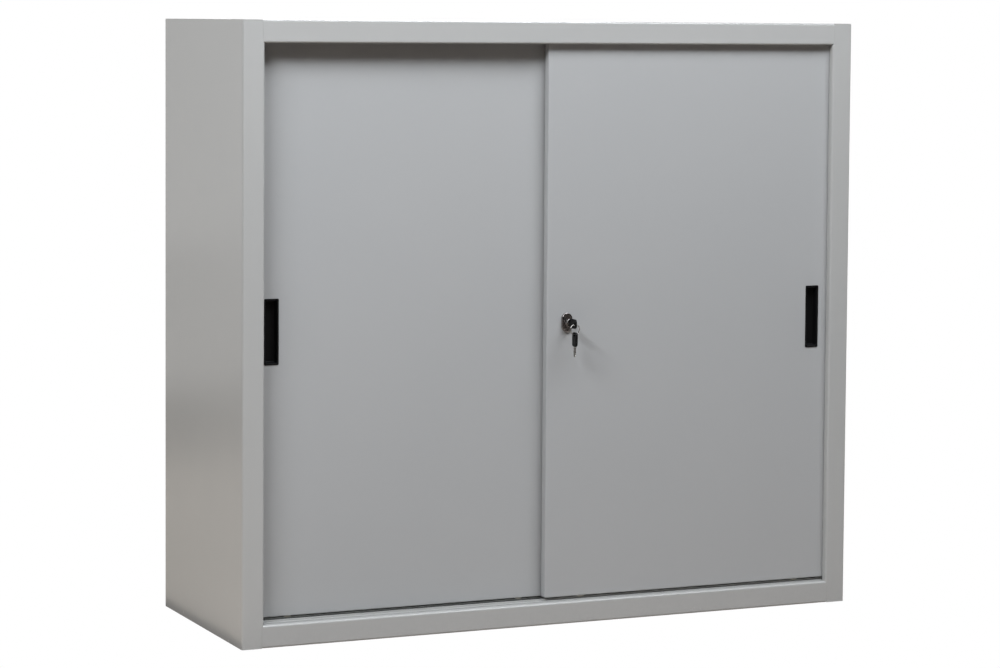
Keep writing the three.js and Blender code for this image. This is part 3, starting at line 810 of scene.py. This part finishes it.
    def bevel(self, test: Test, width: float, segments: int) -> "Workpiece":
        """Rounds edges.

        Args:
            test: Picks the edges.
            width: Width of the rounding.
            segments: Number of facets across it.

        Returns:
            The workpiece.
        """
        if self.select(Part.EDGES, test):
            bpy.ops.mesh.bevel(offset=width, segments=segments, affect="EDGES", clamp_overlap=True)
        bpy.ops.object.mode_set(mode="OBJECT")
        return self

    def inset(self, test: Test, width: float) -> "Workpiece":
        """Draws a border inside faces, and leaves what it encloses selected.

        Args:
            test: Picks the faces.
            width: Width of the border.

        Returns:
            The workpiece, in edit mode.
        """
        if self.select(Part.FACES, test):
            bpy.ops.mesh.inset(thickness=width)
        return self

    def sink(self, slope: float, depth: float) -> "Workpiece":
        """Presses what is selected in.

        Args:
            slope: Width of the sloped border round it.
            depth: How deep it is pressed.

        Returns:
            The workpiece.
        """
        bpy.ops.mesh.inset(thickness=slope, depth=-depth)
        bpy.ops.object.mode_set(mode="OBJECT")
        return self

    def push(self, by: Vector, narrower: Vector | None = None) -> "Workpiece":
        """Extrudes what is selected.

        Args:
            by: Way of the extrusion.
            narrower: Scale of the new end about its middle, for a draft.

        Returns:
            The workpiece.
        """
        bpy.ops.mesh.extrude_region_move(TRANSFORM_OT_translate={"value": by})
        if narrower:
            shape = bmesh.from_edit_mesh(self.obj.data)
            ends = [vertex.co for vertex in shape.verts if vertex.select]
            middle = sum(ends, Vector()) / len(ends)
            bpy.ops.transform.resize(value=narrower, center_override=middle)
        bpy.ops.object.mode_set(mode="OBJECT")
        return self

    def apply(self, kind: str, **settings: object) -> "Workpiece":
        """Adds a modifier and applies it.

        Args:
            kind: Type of the modifier.
            **settings: Its properties.

        Returns:
            The workpiece.
        """
        self.take(self.obj)
        modifier = self.obj.modifiers.new("step", kind)
        for key, value in settings.items():
            setattr(modifier, key, value)
        bpy.ops.object.modifier_apply(modifier=modifier.name)
        return self

    def combine(self, other: "Workpiece", joining: Joining) -> "Workpiece":
        """Cuts or joins with another workpiece, which is used up.

        Args:
            other: The other workpiece.
            joining: What it does.

        Returns:
            The workpiece.
        """
        self.apply("BOOLEAN", object=other.obj, operation=joining.value, solver="EXACT")
        bpy.data.objects.remove(other.obj)
        return self

    def smooth(self, angle: float) -> "Workpiece":
        """Shades smooth across edges flatter than an angle, and keeps flat faces flat.

        Args:
            angle: The angle, in degrees.

        Returns:
            The workpiece.
        """
        self.take(self.obj)
        bpy.ops.object.shade_smooth_by_angle(angle=math.radians(angle), keep_sharp_edges=False)
        return self.apply("WEIGHTED_NORMAL", keep_sharp=True)

    def moved_copy(self, name: str, turn: Matrix) -> "Workpiece":
        """Makes a copy with its own mesh.

        Args:
            name: Name of the copy.
            turn: Matrix that places it.

        Returns:
            The copy.
        """
        made = self.obj.copy()
        made.data = self.obj.data.copy()
        made.data.transform(turn)
        self.take(made, new=True)
        return Workpiece(name)


class Fitter:
    """Finishes workpieces and hangs them on the bodies that carry them."""

    def __init__(self, paintshop: Paintshop) -> None:
        """Keeps the finishes at hand."""
        self.paintshop = paintshop

    def fit(
        self, piece: Workpiece, body: str, slot: Slot, nodes: Sequence[str] = (), angle: float = 40.0
    ) -> None:
        """Shades, paints and mounts a piece.

        Args:
            piece: The workpiece.
            body: Body that it rides on.
            slot: Material slot of its finish.
            nodes: Nodes that it stands for.
            angle: Angle up to which edges are shaded smooth, in degrees.
        """
        piece.smooth(angle)
        piece.obj.data.materials.clear()
        self.paintshop.dress(piece.obj, slot)
        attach(piece.obj, body)
        if nodes:
            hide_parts(*nodes)
        log.info("%s rides on %s, %d faces", piece.obj.name, body, len(piece.obj.data.polygons))


def middle_of(node: str) -> Vector:
    """Middle of a node's box."""
    low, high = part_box(node)
    return (low + high) / 2


def on_coil(radius: float, turn: float, rise: float) -> Vector:
    """Place on a coil about an axis along Y.

    Args:
        radius: Radius of the coil.
        turn: Turns from straight up.
        rise: Place along the axis.

    Returns:
        The place, from a point on the axis.
    """
    angle = 2 * math.pi * turn
    return Vector((radius * math.sin(angle), rise, radius * math.cos(angle)))


def quarter_circle(steps: int) -> list[float]:
    """Angles of a quarter circle, in equal steps."""
    return [math.pi / 2 * step / steps for step in range(steps + 1)]


def along(axis: int) -> Test:
    """Test for edges along an axis."""
    return lambda _, way: abs(way[axis]) > PARALLEL


def facing(axis: int, sign: int) -> Test:
    """Test for faces that look up an axis, or down it for a sign of -1."""
    return lambda _, way: way[axis] * sign > FACING


def level_with(axis: int, place: float) -> Test:
    """Test for edges at a place along an axis."""
    return lambda at, _: abs(at[axis] - place) < LEVEL


# Sub-assemblies


@dataclass
class RecessedPull:
    """Moulded pull: a thin rim on the door's face and a drafted cup behind it."""

    node: str
    body: str
    rim: float = 1.5 * MM
    wall: float = 1.5 * MM
    proud: float = 0.8 * MM
    corner: float = 2.0 * MM
    cup_corner: float = 2.2 * MM
    cup_mouth: float = 1 * MM
    floor_radius: float = 1.8 * MM
    lip: float = 0.35 * MM
    draft: float = 0.94

    def build(self, fitter: Fitter) -> None:
        """Models the pull from a plate and mounts it.

        Args:
            fitter: Finishes and mounts the piece.
        """
        low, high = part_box(self.node)
        back = low.y + self.proud
        plate = Workpiece.block(f"{self.node}_moulding", low, Vector((high.x, back, high.z)))
        plate.bevel(along(Y), self.corner, segments=5)
        plate.inset(facing(Y, 1), self.rim)
        plate.push(Vector((0, high.y - back, 0)))
        plate.bevel(level_with(Y, low.y), self.lip, segments=3)
        plate.combine(self._cup(low, high), Joining.CUT)
        fitter.fit(plate, self.body, Slot.BLACK_PLASTIC, [self.node])

    def _cup(self, low: Vector, high: Vector) -> Workpiece:
        """Cutter for the cup, drafted towards its rounded floor and flared at its lip.

        Args:
            low: Lowest corner of the pull.
            high: Highest corner of the pull.

        Returns:
            The cutter.
        """
        edge = self.rim + self.wall
        near = low + Vector((edge, self.lip, edge))
        far = high - Vector((edge, self.wall, edge))
        span = far - near
        cup = Workpiece.block("cup", near, Vector((far.x, near.y + self.cup_mouth, far.z)))
        cup.bevel(along(Y), self.cup_corner, segments=5)
        cup.select(Part.FACES, facing(Y, 1))
        narrowed = Vector((self.draft, 1.0, (1 + self.draft) / 2))
        cup.push(Vector((0, span.y - self.cup_mouth, 0)), narrowed)
        cup.bevel(level_with(Y, far.y), self.floor_radius, segments=4)
        cup.select(Part.FACES, facing(Y, -1))
        flared = Vector((1 + 2 * self.lip / span.x, 1.0, 1 + 2 * self.lip / span.z))
        cup.push(Vector((0, -self.lip, 0)), flared)
        cup.select(Part.FACES, facing(Y, -1))
        return cup.push(Vector((0, -CUT_PAST, 0)))


@dataclass
class PushLock:
    """Push lock in the right door: oblong housing, plunger, plug and return spring."""

    steps: int = 64
    roundness: float = 0.995
    edge: float = 1.3 * MM
    sleeve_radius: float = 9 * MM
    bore_fit: float = 0.2 * MM
    bore_floor: float = 1 * MM
    seat_gap: float = 0.2 * MM
    mouth: float = 0.5 * MM
    plunger_round: float = 0.9 * MM
    plug_chamfer: float = 0.25 * MM
    plug_steps: int = 48
    keyway_width: float = 2.2 * MM
    keyway_height: float = 7.2 * MM
    keyway_floor: float = 1 * MM
    spring_wire: float = 0.6 * MM
    spring_turns: float = 3.0
    spring_steps: int = 32

    def build(self, fitter: Fitter) -> None:
        """Models and mounts the housing, plunger, plug and spring.

        Args:
            fitter: Finishes and mounts the pieces.
        """
        centre = middle_of("lock_plunger")
        fitter.fit(self._housing(centre), "right_door", Slot.CHROME, ["lock_housing"])
        fitter.fit(self._plunger(centre), "lock_plunger", Slot.CHROME, ["lock_plunger"])
        fitter.fit(self._plug(centre), "lock_plug", Slot.NICKEL, ["lock_plug"])
        self._fit_spring(fitter, centre)

    def _fit_spring(self, fitter: Fitter, centre: Vector) -> None:
        """Winds the return spring.

        Args:
            fitter: Finishes and mounts the piece.
            centre: A point on the lock's axis.
        """
        low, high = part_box("lock_spring")
        radius = high.x - centre.x - self.spring_wire / 2
        front = low.y + self.spring_wire / 2
        rise = high.y - low.y - self.spring_wire
        axis = Vector((centre.x, 0, centre.z))
        steps = int(self.spring_turns * self.spring_steps)
        shares = [index / steps for index in range(steps + 1)]
        route = [axis + on_coil(radius, share * self.spring_turns, front + share * rise) for share in shares]
        spring = Workpiece.wound("lock_spring_wound", self.spring_wire, route, sides=2)
        fitter.fit(spring, "right_door", Slot.ZINC, ["lock_spring"])
        stroke = next(joint["range_m"][1] for joint in frame["joints"] if joint["name"] == "lock_push")
        keep = 1 - (stroke + self.seat_gap) / (high.y - low.y)
        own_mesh(spring.obj)

    def _housing(self, centre: Vector) -> Workpiece:
        """The oblong head with a rounded edge, its sleeve and its bore.

        Args:
            centre: A point on the lock's axis.

        Returns:
            The workpiece.
        """
        low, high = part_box("lock_housing")
        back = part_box("right_door_panel")[0].y - self.seat_gap
        head = Workpiece.block("lock_housing_head", low, Vector((high.x, back, high.z)))
        head.bevel(along(Y), (high.x - low.x) / 2 * self.roundness, segments=14)
        head.bevel(level_with(Y, low.y), self.edge, segments=5)
        radius, root = self.sleeve_radius, back - self.edge
        sleeve = [(0, root), (radius, root), (radius, high.y), (0, high.y)]
        head.combine(Workpiece.turned("sleeve", sleeve, centre, self.steps), Joining.ADD)
        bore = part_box("lock_plunger")[1].x - centre.x + self.bore_fit
        start, end = low.y - CUT_PAST, high.y - self.bore_floor
        cutter = [
            (0, start), (bore + self.mouth + CUT_PAST, start), (bore, low.y + self.mouth),
            (bore, end), (0, end),
        ]
        return head.combine(Workpiece.turned("bore", cutter, centre, self.steps), Joining.CUT)

    def _plunger(self, centre: Vector) -> Workpiece:
        """The turned plunger, with a rounded nose and a seat for the plug.

        Args:
            centre: A point on the lock's axis.

        Returns:
            The workpiece.
        """
        low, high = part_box("lock_plunger")
        radius, bend, chamfer = high.x - centre.x, self.plunger_round, self.plug_chamfer
        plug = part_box("lock_plug")[1]
        seat = plug.x - centre.x + self.bore_fit
        deep = plug.y + self.seat_gap
        nose = [
            (radius - bend * (1 - math.sin(turn)), low.y + bend * (1 - math.cos(turn)))
            for turn in quarter_circle(6)
        ]
        lip = [(0, deep), (seat, deep), (seat, low.y + chamfer), (seat + chamfer, low.y)]
        profile = [*lip, *nose, (radius, high.y), (0, high.y)]
        return Workpiece.turned("lock_plunger_turned", profile, centre, self.steps)

    def _plug(self, centre: Vector) -> Workpiece:
        """The plug with its keyway.

        Args:
            centre: A point on the lock's axis.

        Returns:
            The workpiece.
        """
        low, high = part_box("lock_plug")
        radius, chamfer = high.x - centre.x, self.plug_chamfer
        profile = [
            (0, low.y), (radius - chamfer, low.y), (radius, low.y + chamfer), (radius, high.y), (0, high.y),
        ]
        plug = Workpiece.turned("lock_plug_turned", profile, centre, self.plug_steps)
        reach = Vector((self.keyway_width / 2, 0, self.keyway_height / 2))
        start = Vector((centre.x, low.y - CUT_PAST, centre.z))
        end = Vector((centre.x, high.y - self.keyway_floor, centre.z))
        return plug.combine(Workpiece.block("keyway", start - reach, end + reach), Joining.CUT)


@dataclass
class Key:
    """Key with a moulded bow and a bitted blade, drawn along one axis and flat across another."""

    blade_node: str
    bow_node: str
    body: str
    length_axis: int
    outward: int
    flat_axis: int = X
    groove_width: float = 1.5 * MM
    groove_depth: float = 0.45 * MM
    groove_offset: float = 0.1 * MM
    corner_share: float = 0.32
    bow_edge: float = 0.9 * MM
    border: float = 1.5 * MM
    border_slope: float = 0.25
    border_depth: float = 0.35 * MM
    rim_reach: float = 0.05 * MM
    rim_share: float = 0.93
    hole_inset: float = 4.8 * MM
    hole_radius: float = 2.6 * MM
    hole_flare: float = 0.5 * MM

    @property
    def width_axis(self) -> int:
        """The axis across the key."""
        return X + Y + Z - self.length_axis - self.flat_axis

    def build(self, fitter: Fitter) -> None:
        """Models the bow and the blade and mounts both.

        Args:
            fitter: Finishes and mounts the pieces.
        """
        fitter.fit(self._blade(), self.body, Slot.NICKEL, [self.blade_node], angle=30.0)
        fitter.fit(self._bow(), self.body, Slot.BLACK_PLASTIC, [self.bow_node])

    def _blade(self) -> Workpiece:
        """The bitted blade with a milled groove down each face.

        Returns:
            The workpiece.
        """
        blade = Workpiece.copy_of_node(f"{self.blade_node}_milled", self.blade_node)
        low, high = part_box(self.blade_node)
        length, width, flat = self.length_axis, self.width_axis, self.flat_axis
        start = (low[width] + high[width]) / 2 + self.groove_offset
        for side in (-1, 1):
            first, second = low.copy(), high.copy()
            first[length] -= CUT_PAST
            second[length] += CUT_PAST
            first[width], second[width] = start, start + self.groove_width
            face = high[flat] if side > 0 else low[flat]
            first[flat], second[flat] = sorted((face - side * self.groove_depth, face + side * CUT_PAST))
            blade.combine(Workpiece.block("groove", first, second), Joining.CUT)
        return blade

    def _bow(self) -> Workpiece:
        """The bow: rounded plate with a sunk border and a hole.

        Returns:
            The workpiece.
        """
        low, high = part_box(self.bow_node)
        centre = (low + high) / 2
        flat, length = self.flat_axis, self.length_axis
        corner = (high[self.width_axis] - low[self.width_axis]) * self.corner_share
        edge = (high[flat] - low[flat]) / 2
        bow = Workpiece.block(f"{self.bow_node}_moulding", low, high)
        bow.bevel(along(flat), corner, segments=7)
        bow.inset(lambda _, way: abs(way[flat]) > FACING, self.border)
        bow.sink(self.border * self.border_slope, self.border_depth)
        bow.bevel(
            lambda at, _: abs(abs(at[flat] - centre[flat]) - edge) < LEVEL
            and self._on_rim(at, low, high, corner),
            self.bow_edge,
            segments=4,
        )
        hole = centre.copy()
        hole[length] = (high if self.outward > 0 else low)[length] - self.outward * self.hole_inset
        return bow.combine(self._hole(hole), Joining.CUT)

    def _on_rim(self, at: Vector, low: Vector, high: Vector, corner: float) -> bool:
        """Whether a place lies on the outline of the bow, and not on its border.

        Args:
            at: The place.
            low: Lowest corner of the bow.
            high: Highest corner of the bow.
            corner: Radius of the bow's corners.

        Returns:
            True on the outline.
        """
        across = (self.width_axis, self.length_axis)
        inside = [min(at[axis] - low[axis], high[axis] - at[axis]) for axis in across]
        if min(inside) < self.rim_reach:
            return True
        if max(inside) > corner:
            return False
        return math.hypot(corner - inside[0], corner - inside[1]) > corner * self.rim_share

    def _hole(self, centre: Vector) -> Workpiece:
        """Cutter for the ring's hole, flared at both mouths.

        Args:
            centre: Middle of the hole.

        Returns:
            The cutter.
        """
        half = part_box(self.bow_node)[1][self.flat_axis] - centre[self.flat_axis]
        radius, wide = self.hole_radius, self.hole_radius + self.hole_flare
        past = half + CUT_PAST
        mouth = [(radius, half - 2 * self.hole_flare), (wide, half), (wide + CUT_PAST, past), (0, past)]
        profile = [*((r, -y) for r, y in reversed(mouth)), *mouth]
        cutter = Workpiece.turned("hole", profile, Vector(), steps=32)
        cutter.obj.data.transform(Matrix.Translation(centre) @ Matrix.Rotation(math.pi / 2, 4, "Z"))
        return cutter


@dataclass
class SplitRing:
    """Split ring: two coils of wire side by side with a short crossing."""

    wire: float = 1.3 * MM
    radius: float = 9 * MM
    turns: float = 1.9
    gap: float = 0.25 * MM
    start_turn: float = 0.3
    cross_share: float = 0.06
    steps: int = 150

    def build(self, fitter: Fitter) -> None:
        """Winds the ring and mounts it.

        Args:
            fitter: Finishes and mounts the piece.
        """
        centre = middle_of("key_ring")
        route = []
        for index in range(self.steps):
            share = index / (self.steps - 1)
            cross = min(max((share - 0.5) / (2 * self.cross_share) + 0.5, 0.0), 1.0)
            rise = (cross * cross * (3 - 2 * cross) - 0.5) * (self.wire + self.gap)
            turn = share * self.turns + self.start_turn
            route.append(centre + on_coil(self.radius, turn, rise))
        ring = Workpiece.wound("key_ring_wound", self.wire, route, sides=4)
        fitter.fit(ring, "spare_key", Slot.NICKEL, ["key_ring"])


@dataclass
class RunningGear:
    """Rollers, axles and the screws of brackets and guides, on both doors.

    The profiles give radius and place along the axle, in millimetres: the roller's from its middle,
    the axle's tail from its rear end. The axle's head gives shares of its radius, and millimetres
    from its crown.
    """

    roller_profile: tuple[Pair, ...] = (
        (8.5, 1.55), (8.7, 1.75), (9.8, 1.8), (10.0, 2.0), (10.0, 2.65), (9.65, 3.0), (7.7, 3.0),
        (7.4, 2.7), (3.8, 2.7),
    )
    hub_radius: float = 3.6
    hub_bore: float = 2.8
    axle_head: tuple[Pair, ...] = ((0, 0), (0.55, 0.1), (0.9, 0.5), (1, 0.8), (1, 1.0))
    axle_tail: tuple[Pair, ...] = (
        (2.5, 0.6), (3.2, 0.6), (3.0, 0.15), (1.4, 0), (1.1, 0.3), (0, 0.35),
    )
    screw_radius: float = 3.0 * MM
    screw_height: float = 1.5 * MM
    screw_wall: float = 0.35
    cross_reach: float = 1.7 * MM
    cross_width: float = 0.32 * MM
    cross_turn: float = 0.7
    cross_spread: float = 90.0
    bracket_screw: float = 19 * MM
    bracket_foot: float = 1.2 * MM
    guide_screw: float = 18.5 * MM
    guide_foot: float = 3 * MM

    def build(self, fitter: Fitter) -> None:
        """Models one roller, one axle and one screw, and mounts copies of them.

        Args:
            fitter: Finishes and mounts the pieces.
        """
        first = "left_door_roller_left"
        roller = self._roller(first)
        axle = self._axle("left_door_axle_left")
        screw = self._screw()
        for door in DOORS:
            for side in SIDES:
                wheel, node = f"{door}_roller_{side}", f"{door}_axle_{side}"
                shift = Matrix.Translation(middle_of(wheel) - middle_of(first))
                rolling = roller.moved_copy(f"{wheel}_turned", shift)
                fitter.fit(rolling, f"{door}_wheel_{side}", Slot.NYLON, [wheel], angle=30.0)
                fitter.fit(axle.moved_copy(f"{node}_turned", shift), door, Slot.ZINC, [node])
                self._fit_screws(fitter, screw, door, side)
        for used in (roller, axle, screw):
            bpy.data.objects.remove(used.obj)

    def _fit_screws(self, fitter: Fitter, screw: Workpiece, door: str, side: str) -> None:
        """Sets two screws in a bracket's feet and two in a guide's foot.

        Args:
            fitter: Finishes and mounts the pieces.
            screw: The screw, head up, with its seat at the origin.
            door: Body of the door.
            side: Side of the door.
        """
        places = (
            (f"{door}_bracket_{side}", self.bracket_screw, self.bracket_foot),
            (f"{door}_guide_{side}", self.guide_screw, self.guide_foot),
        )
        for node, reach, foot in places:
            centre = middle_of(node)
            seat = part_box(node)[0].z + foot
            for end, sign in zip(SIDES, (-1, 1)):
                at = Vector((centre.x + sign * reach, centre.y, seat))
                angle = self.cross_turn * sign + reach * self.cross_spread
                turn = Matrix.Translation(at) @ Matrix.Rotation(angle, 4, "Z")
                fitter.fit(screw.moved_copy(f"{node}_screw_{end}", turn), door, Slot.ZINC, angle=30.0)

    def _roller(self, node: str) -> Workpiece:
        """A grooved roller with rounded rims and a sunk web.

        Args:
            node: Node that it stands for.

        Returns:
            The workpiece.
        """
        low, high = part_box(node)
        centre = middle_of(node)
        hub = (high.y - low.y) / 2 / MM
        half = [*self.roller_profile, (self.hub_radius, hub), (self.hub_bore, hub)]
        shape = [*((r, -y) for r, y in reversed(half)), *half, (self.hub_bore, -hub)]
        profile = [(r * MM, centre.y + y * MM) for r, y in shape]
        return Workpiece.turned("roller", profile, centre, steps=64)

    def _axle(self, node: str) -> Workpiece:
        """A riveted axle with a domed head.

        Args:
            node: Node that it stands for.

        Returns:
            The workpiece.
        """
        low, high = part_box(node)
        centre = middle_of(node)
        radius, shoulder = high.x - centre.x, self.axle_head[-1][1]
        head = [(share * radius, low.y + depth * MM) for share, depth in self.axle_head]
        tail = [(r * MM, high.y - depth * MM) for r, depth in self.axle_tail]
        shank = (tail[0][0], low.y + shoulder * MM)
        return Workpiece.turned("axle", [*head, shank, *tail], centre, steps=32)

    def _screw(self) -> Workpiece:
        """A pan-head screw with a cross recess.

        Returns:
            The workpiece, head up, with its seat at the origin.
        """
        radius, height, wall = self.screw_radius, self.screw_height, self.screw_wall
        dome = [
            (radius * math.cos(turn), height * (wall + (1 - wall) * math.sin(turn)))
            for turn in quarter_circle(4)
        ]
        profile = [(0, 0), (radius, 0), *dome[:-1], (0, height)]
        head = Workpiece.turned("screw", profile, Vector(), steps=20)
        spans = ((self.cross_reach, self.cross_width), (self.cross_width, self.cross_reach))
        for x, z in spans:
            low = Vector((-x, height * wall, -z))
            high = Vector((x, height + CUT_PAST, z))
            head.combine(Workpiece.block("recess", low, high), Joining.CUT)
        head.obj.data.transform(Matrix.Rotation(math.pi / 2, 4, "X"))
        return head


# Studio


@dataclass
class Camera:
    """The photograph's camera, in front of the cabinet's left end."""

    focal_pixels: float = 3035.7
    frame_width: int = 1000
    frame_height: int = 668
    principal: Pair = (518.55, 222.81)
    place: tuple[float, float, float] = (-2.309, -5.1275, 1.091)
    yaw: float = 24.339
    pitch: float = -3.808
    roll: float = 0.436
    sensor: float = 36.0
    clip: Pair = (0.1, 100.0)

    def build(self) -> None:
        """Adds the camera and makes it the scene's."""
        lens = bpy.data.cameras.new("camera")
        lens.sensor_width = self.sensor
        lens.lens = self.focal_pixels * self.sensor / self.frame_width
        lens.shift_x = (self.frame_width / 2 - self.principal[0]) / self.frame_width
        lens.shift_y = (self.principal[1] - self.frame_height / 2) / self.frame_width
        lens.clip_start, lens.clip_end = self.clip
        yaw, pitch, roll = (math.radians(angle) for angle in (self.yaw, self.pitch, self.roll))
        level = Vector((math.cos(yaw), -math.sin(yaw), 0.0))
        ahead = Vector((math.sin(yaw), math.cos(yaw), 0.0))
        forward = ahead * math.cos(pitch) + Vector((0.0, 0.0, math.sin(pitch)))
        upward = level.cross(forward)
        right = level * math.cos(roll) + upward * math.sin(roll)
        up = upward * math.cos(roll) - level * math.sin(roll)
        camera = bpy.data.objects.new("camera", lens)
        turn = Matrix((right, up, -forward)).transposed().to_4x4()
        camera.matrix_world = Matrix.Translation(self.place) @ turn
        bpy.context.scene.collection.objects.link(camera)
        bpy.context.scene.camera = camera


@dataclass(frozen=True)
class SoftBox:
    """A rectangular soft light that faces a point."""

    name: str
    place: tuple[float, float, float]
    target: tuple[float, float, float]
    size: Pair
    power: float
    colour: Colour = WHITE
    flagged: bool = False

    def build(self, flags: bpy.types.Collection) -> None:
        """Adds the light.

        Args:
            flags: What a flagged light leaves dark.
        """
        light = bpy.data.lights.new(self.name, "AREA")
        light.shape = "RECTANGLE"
        light.size, light.size_y = self.size
        light.energy = self.power
        light.color = self.colour
        holder = bpy.data.objects.new(self.name, light)
        holder.visible_camera = False
        if self.flagged:
            holder.light_linking.receiver_collection = flags
        holder.location = self.place
        aim = Vector(self.target) - Vector(self.place)
        holder.rotation_mode = "QUATERNION"
        holder.rotation_quaternion = aim.to_track_quat("-Z", "Y")
        bpy.context.scene.collection.objects.link(holder)


@dataclass
class Studio:
    """Pale floor, soft lights and the grey room that bright metal reflects."""

    floor_colour: Colour = (0.39, 0.34, 0.3)
    floor_size: float = 30.0
    floor_gap: float = 0.3 * MM
    mottle_size: float = 0.9
    mottle_tone: float = 0.04
    room_low: Colour = (0.30, 0.30, 0.30)
    room_high: Colour = (0.95, 0.95, 0.96)
    room_fade: Pair = (-0.1, 0.8)
    room_strength: float = 0.02
    backdrop: Colour = WHITE
    lights: tuple[SoftBox, ...] = (
        SoftBox("key_left", (-2.5, -1.85, 2.8), (-0.4, -0.2, 0.5), (1.6, 0.25), 72.5, COOL),
        SoftBox("key_middle", (-0.3, -2.45, 3.4), (-0.3, -0.2, 0.5), (2.4, 0.3), 13.5, COOL),
        SoftBox("key_right", (1.9, -2.45, 3.4), (0.0, -0.2, 0.5), (1.4, 0.3), 18.0, COOL),
        SoftBox("bank_high", (0.2, -1.8, 3.5), (-0.3, -0.4, 0.5), (2.6, 0.9), 56.0, COOL),
        SoftBox("bank_low", (0.7, -1.4, 2.88), (-0.1, -0.4, 0.5), (1.6, 0.65), 25.0, COOL),
        SoftBox("wall_foot", (-2.1, 2.15, 0.07), (-2.1, 0.0, 0.07), (2.8, 0.14), 0.1),
        SoftBox("wall_low", (-2.1, 2.15, 0.32), (-2.1, 0.0, 0.32), (2.8, 0.34), 1.9),
        SoftBox("wall_high", (-2.1, 2.15, 1.25), (-2.1, 0.0, 1.25), (2.8, 1.5), 11.6),
        SoftBox("card", (-1.52, 0.8, 0.003), (-1.52, 0.8, 2.0), (1.8, 2.6), 5.8, (1.0, 0.92, 0.82)),
        SoftBox("rear", (0.8, 4.4, 2.6), (0.0, 0.2, 0.5), (3.0, 1.6), 170.0, flagged=True),
        SoftBox("right", (4.0, 1.2, 2.0), (0.6, 0.1, 0.5), (2.0, 1.6), 90.0, flagged=True),
    )

    def build(self) -> None:
        """Adds the floor, the lights and the room."""
        flags = bpy.data.collections.new("flags")
        flags.objects.link(self._floor())
        flags.collection_objects[0].light_linking.link_state = "EXCLUDE"
        for light in self.lights:
            light.build(flags)
        self._room()
        bpy.context.scene.view_settings.view_transform = "Standard"

    def _floor(self) -> bpy.types.Object:
        """Adds a large plain floor just under the cabinet.

        Returns:
            The floor.
        """
        Workpiece.clear_bench()
        bpy.ops.mesh.primitive_plane_add(size=self.floor_size, location=(0, 0, -self.floor_gap))
        floor = bpy.context.object
        floor.name = "floor"
        material = bpy.data.materials.new("floor")
        tree = Tree(material)
        tone = 1.0 + tree.noise(self.mottle_size, detail=3.0).swing(self.mottle_tone)
        paper = tree.node("ShaderNodeBsdfDiffuse", inputs={"Color": tree.toned(self.floor_colour, tone)})
        plain = tree.node("ShaderNodeEmission", inputs={"Color": (*self.backdrop, 1.0)})
        tree.finish_backdrop(paper, plain, "ShaderNodeOutputMaterial")
        floor.data.materials.append(material)
        return floor

    def _room(self) -> None:
        """Makes the world: a plain backdrop for the camera and a grey room for the rest."""
        world = bpy.data.worlds.new("room")
        bpy.context.scene.world = world
        tree = Tree(world, "Generated")
        ends = dict(zip(("From Min", "From Max"), self.room_fade))
        fade = tree.node("ShaderNodeMapRange", inputs={"Value": tree.axis(Z)} | ends)
        walls = tree.blend(Signal(tree, fade.outputs[0]), self.room_low, self.room_high)
        room = tree.node("ShaderNodeBackground", inputs={"Color": walls, "Strength": self.room_strength})
        plain = tree.node("ShaderNodeBackground", inputs={"Color": (*self.backdrop, 1.0)})
        tree.finish_backdrop(room, plain, "ShaderNodeOutputWorld")


def main() -> None:
    """Sets up camera and studio, dresses the cabinet and adds its detailed pieces."""
    logging.basicConfig(level=logging.INFO, format="%(name)s: %(message)s")
    Workpiece.clear_bench()
    Camera().build()
    Studio().build()
    paintshop = Paintshop()
    paintshop.dress_nodes()
    fitter = Fitter(paintshop)
    for side, door in zip(SIDES, DOORS):
        RecessedPull(f"{side}_door_pull", door).build(fitter)
    PushLock().build(fitter)
    Key("key_blade", "key_bow", "door_key", length_axis=Y, outward=-1).build(fitter)
    Key("spare_key_blade", "spare_key_bow", "spare_key", length_axis=Z, outward=1).build(fitter)
    SplitRing().build(fitter)
    RunningGear().build(fitter)
    Workpiece.clear_bench()


if __name__ == "__main__":
    main()
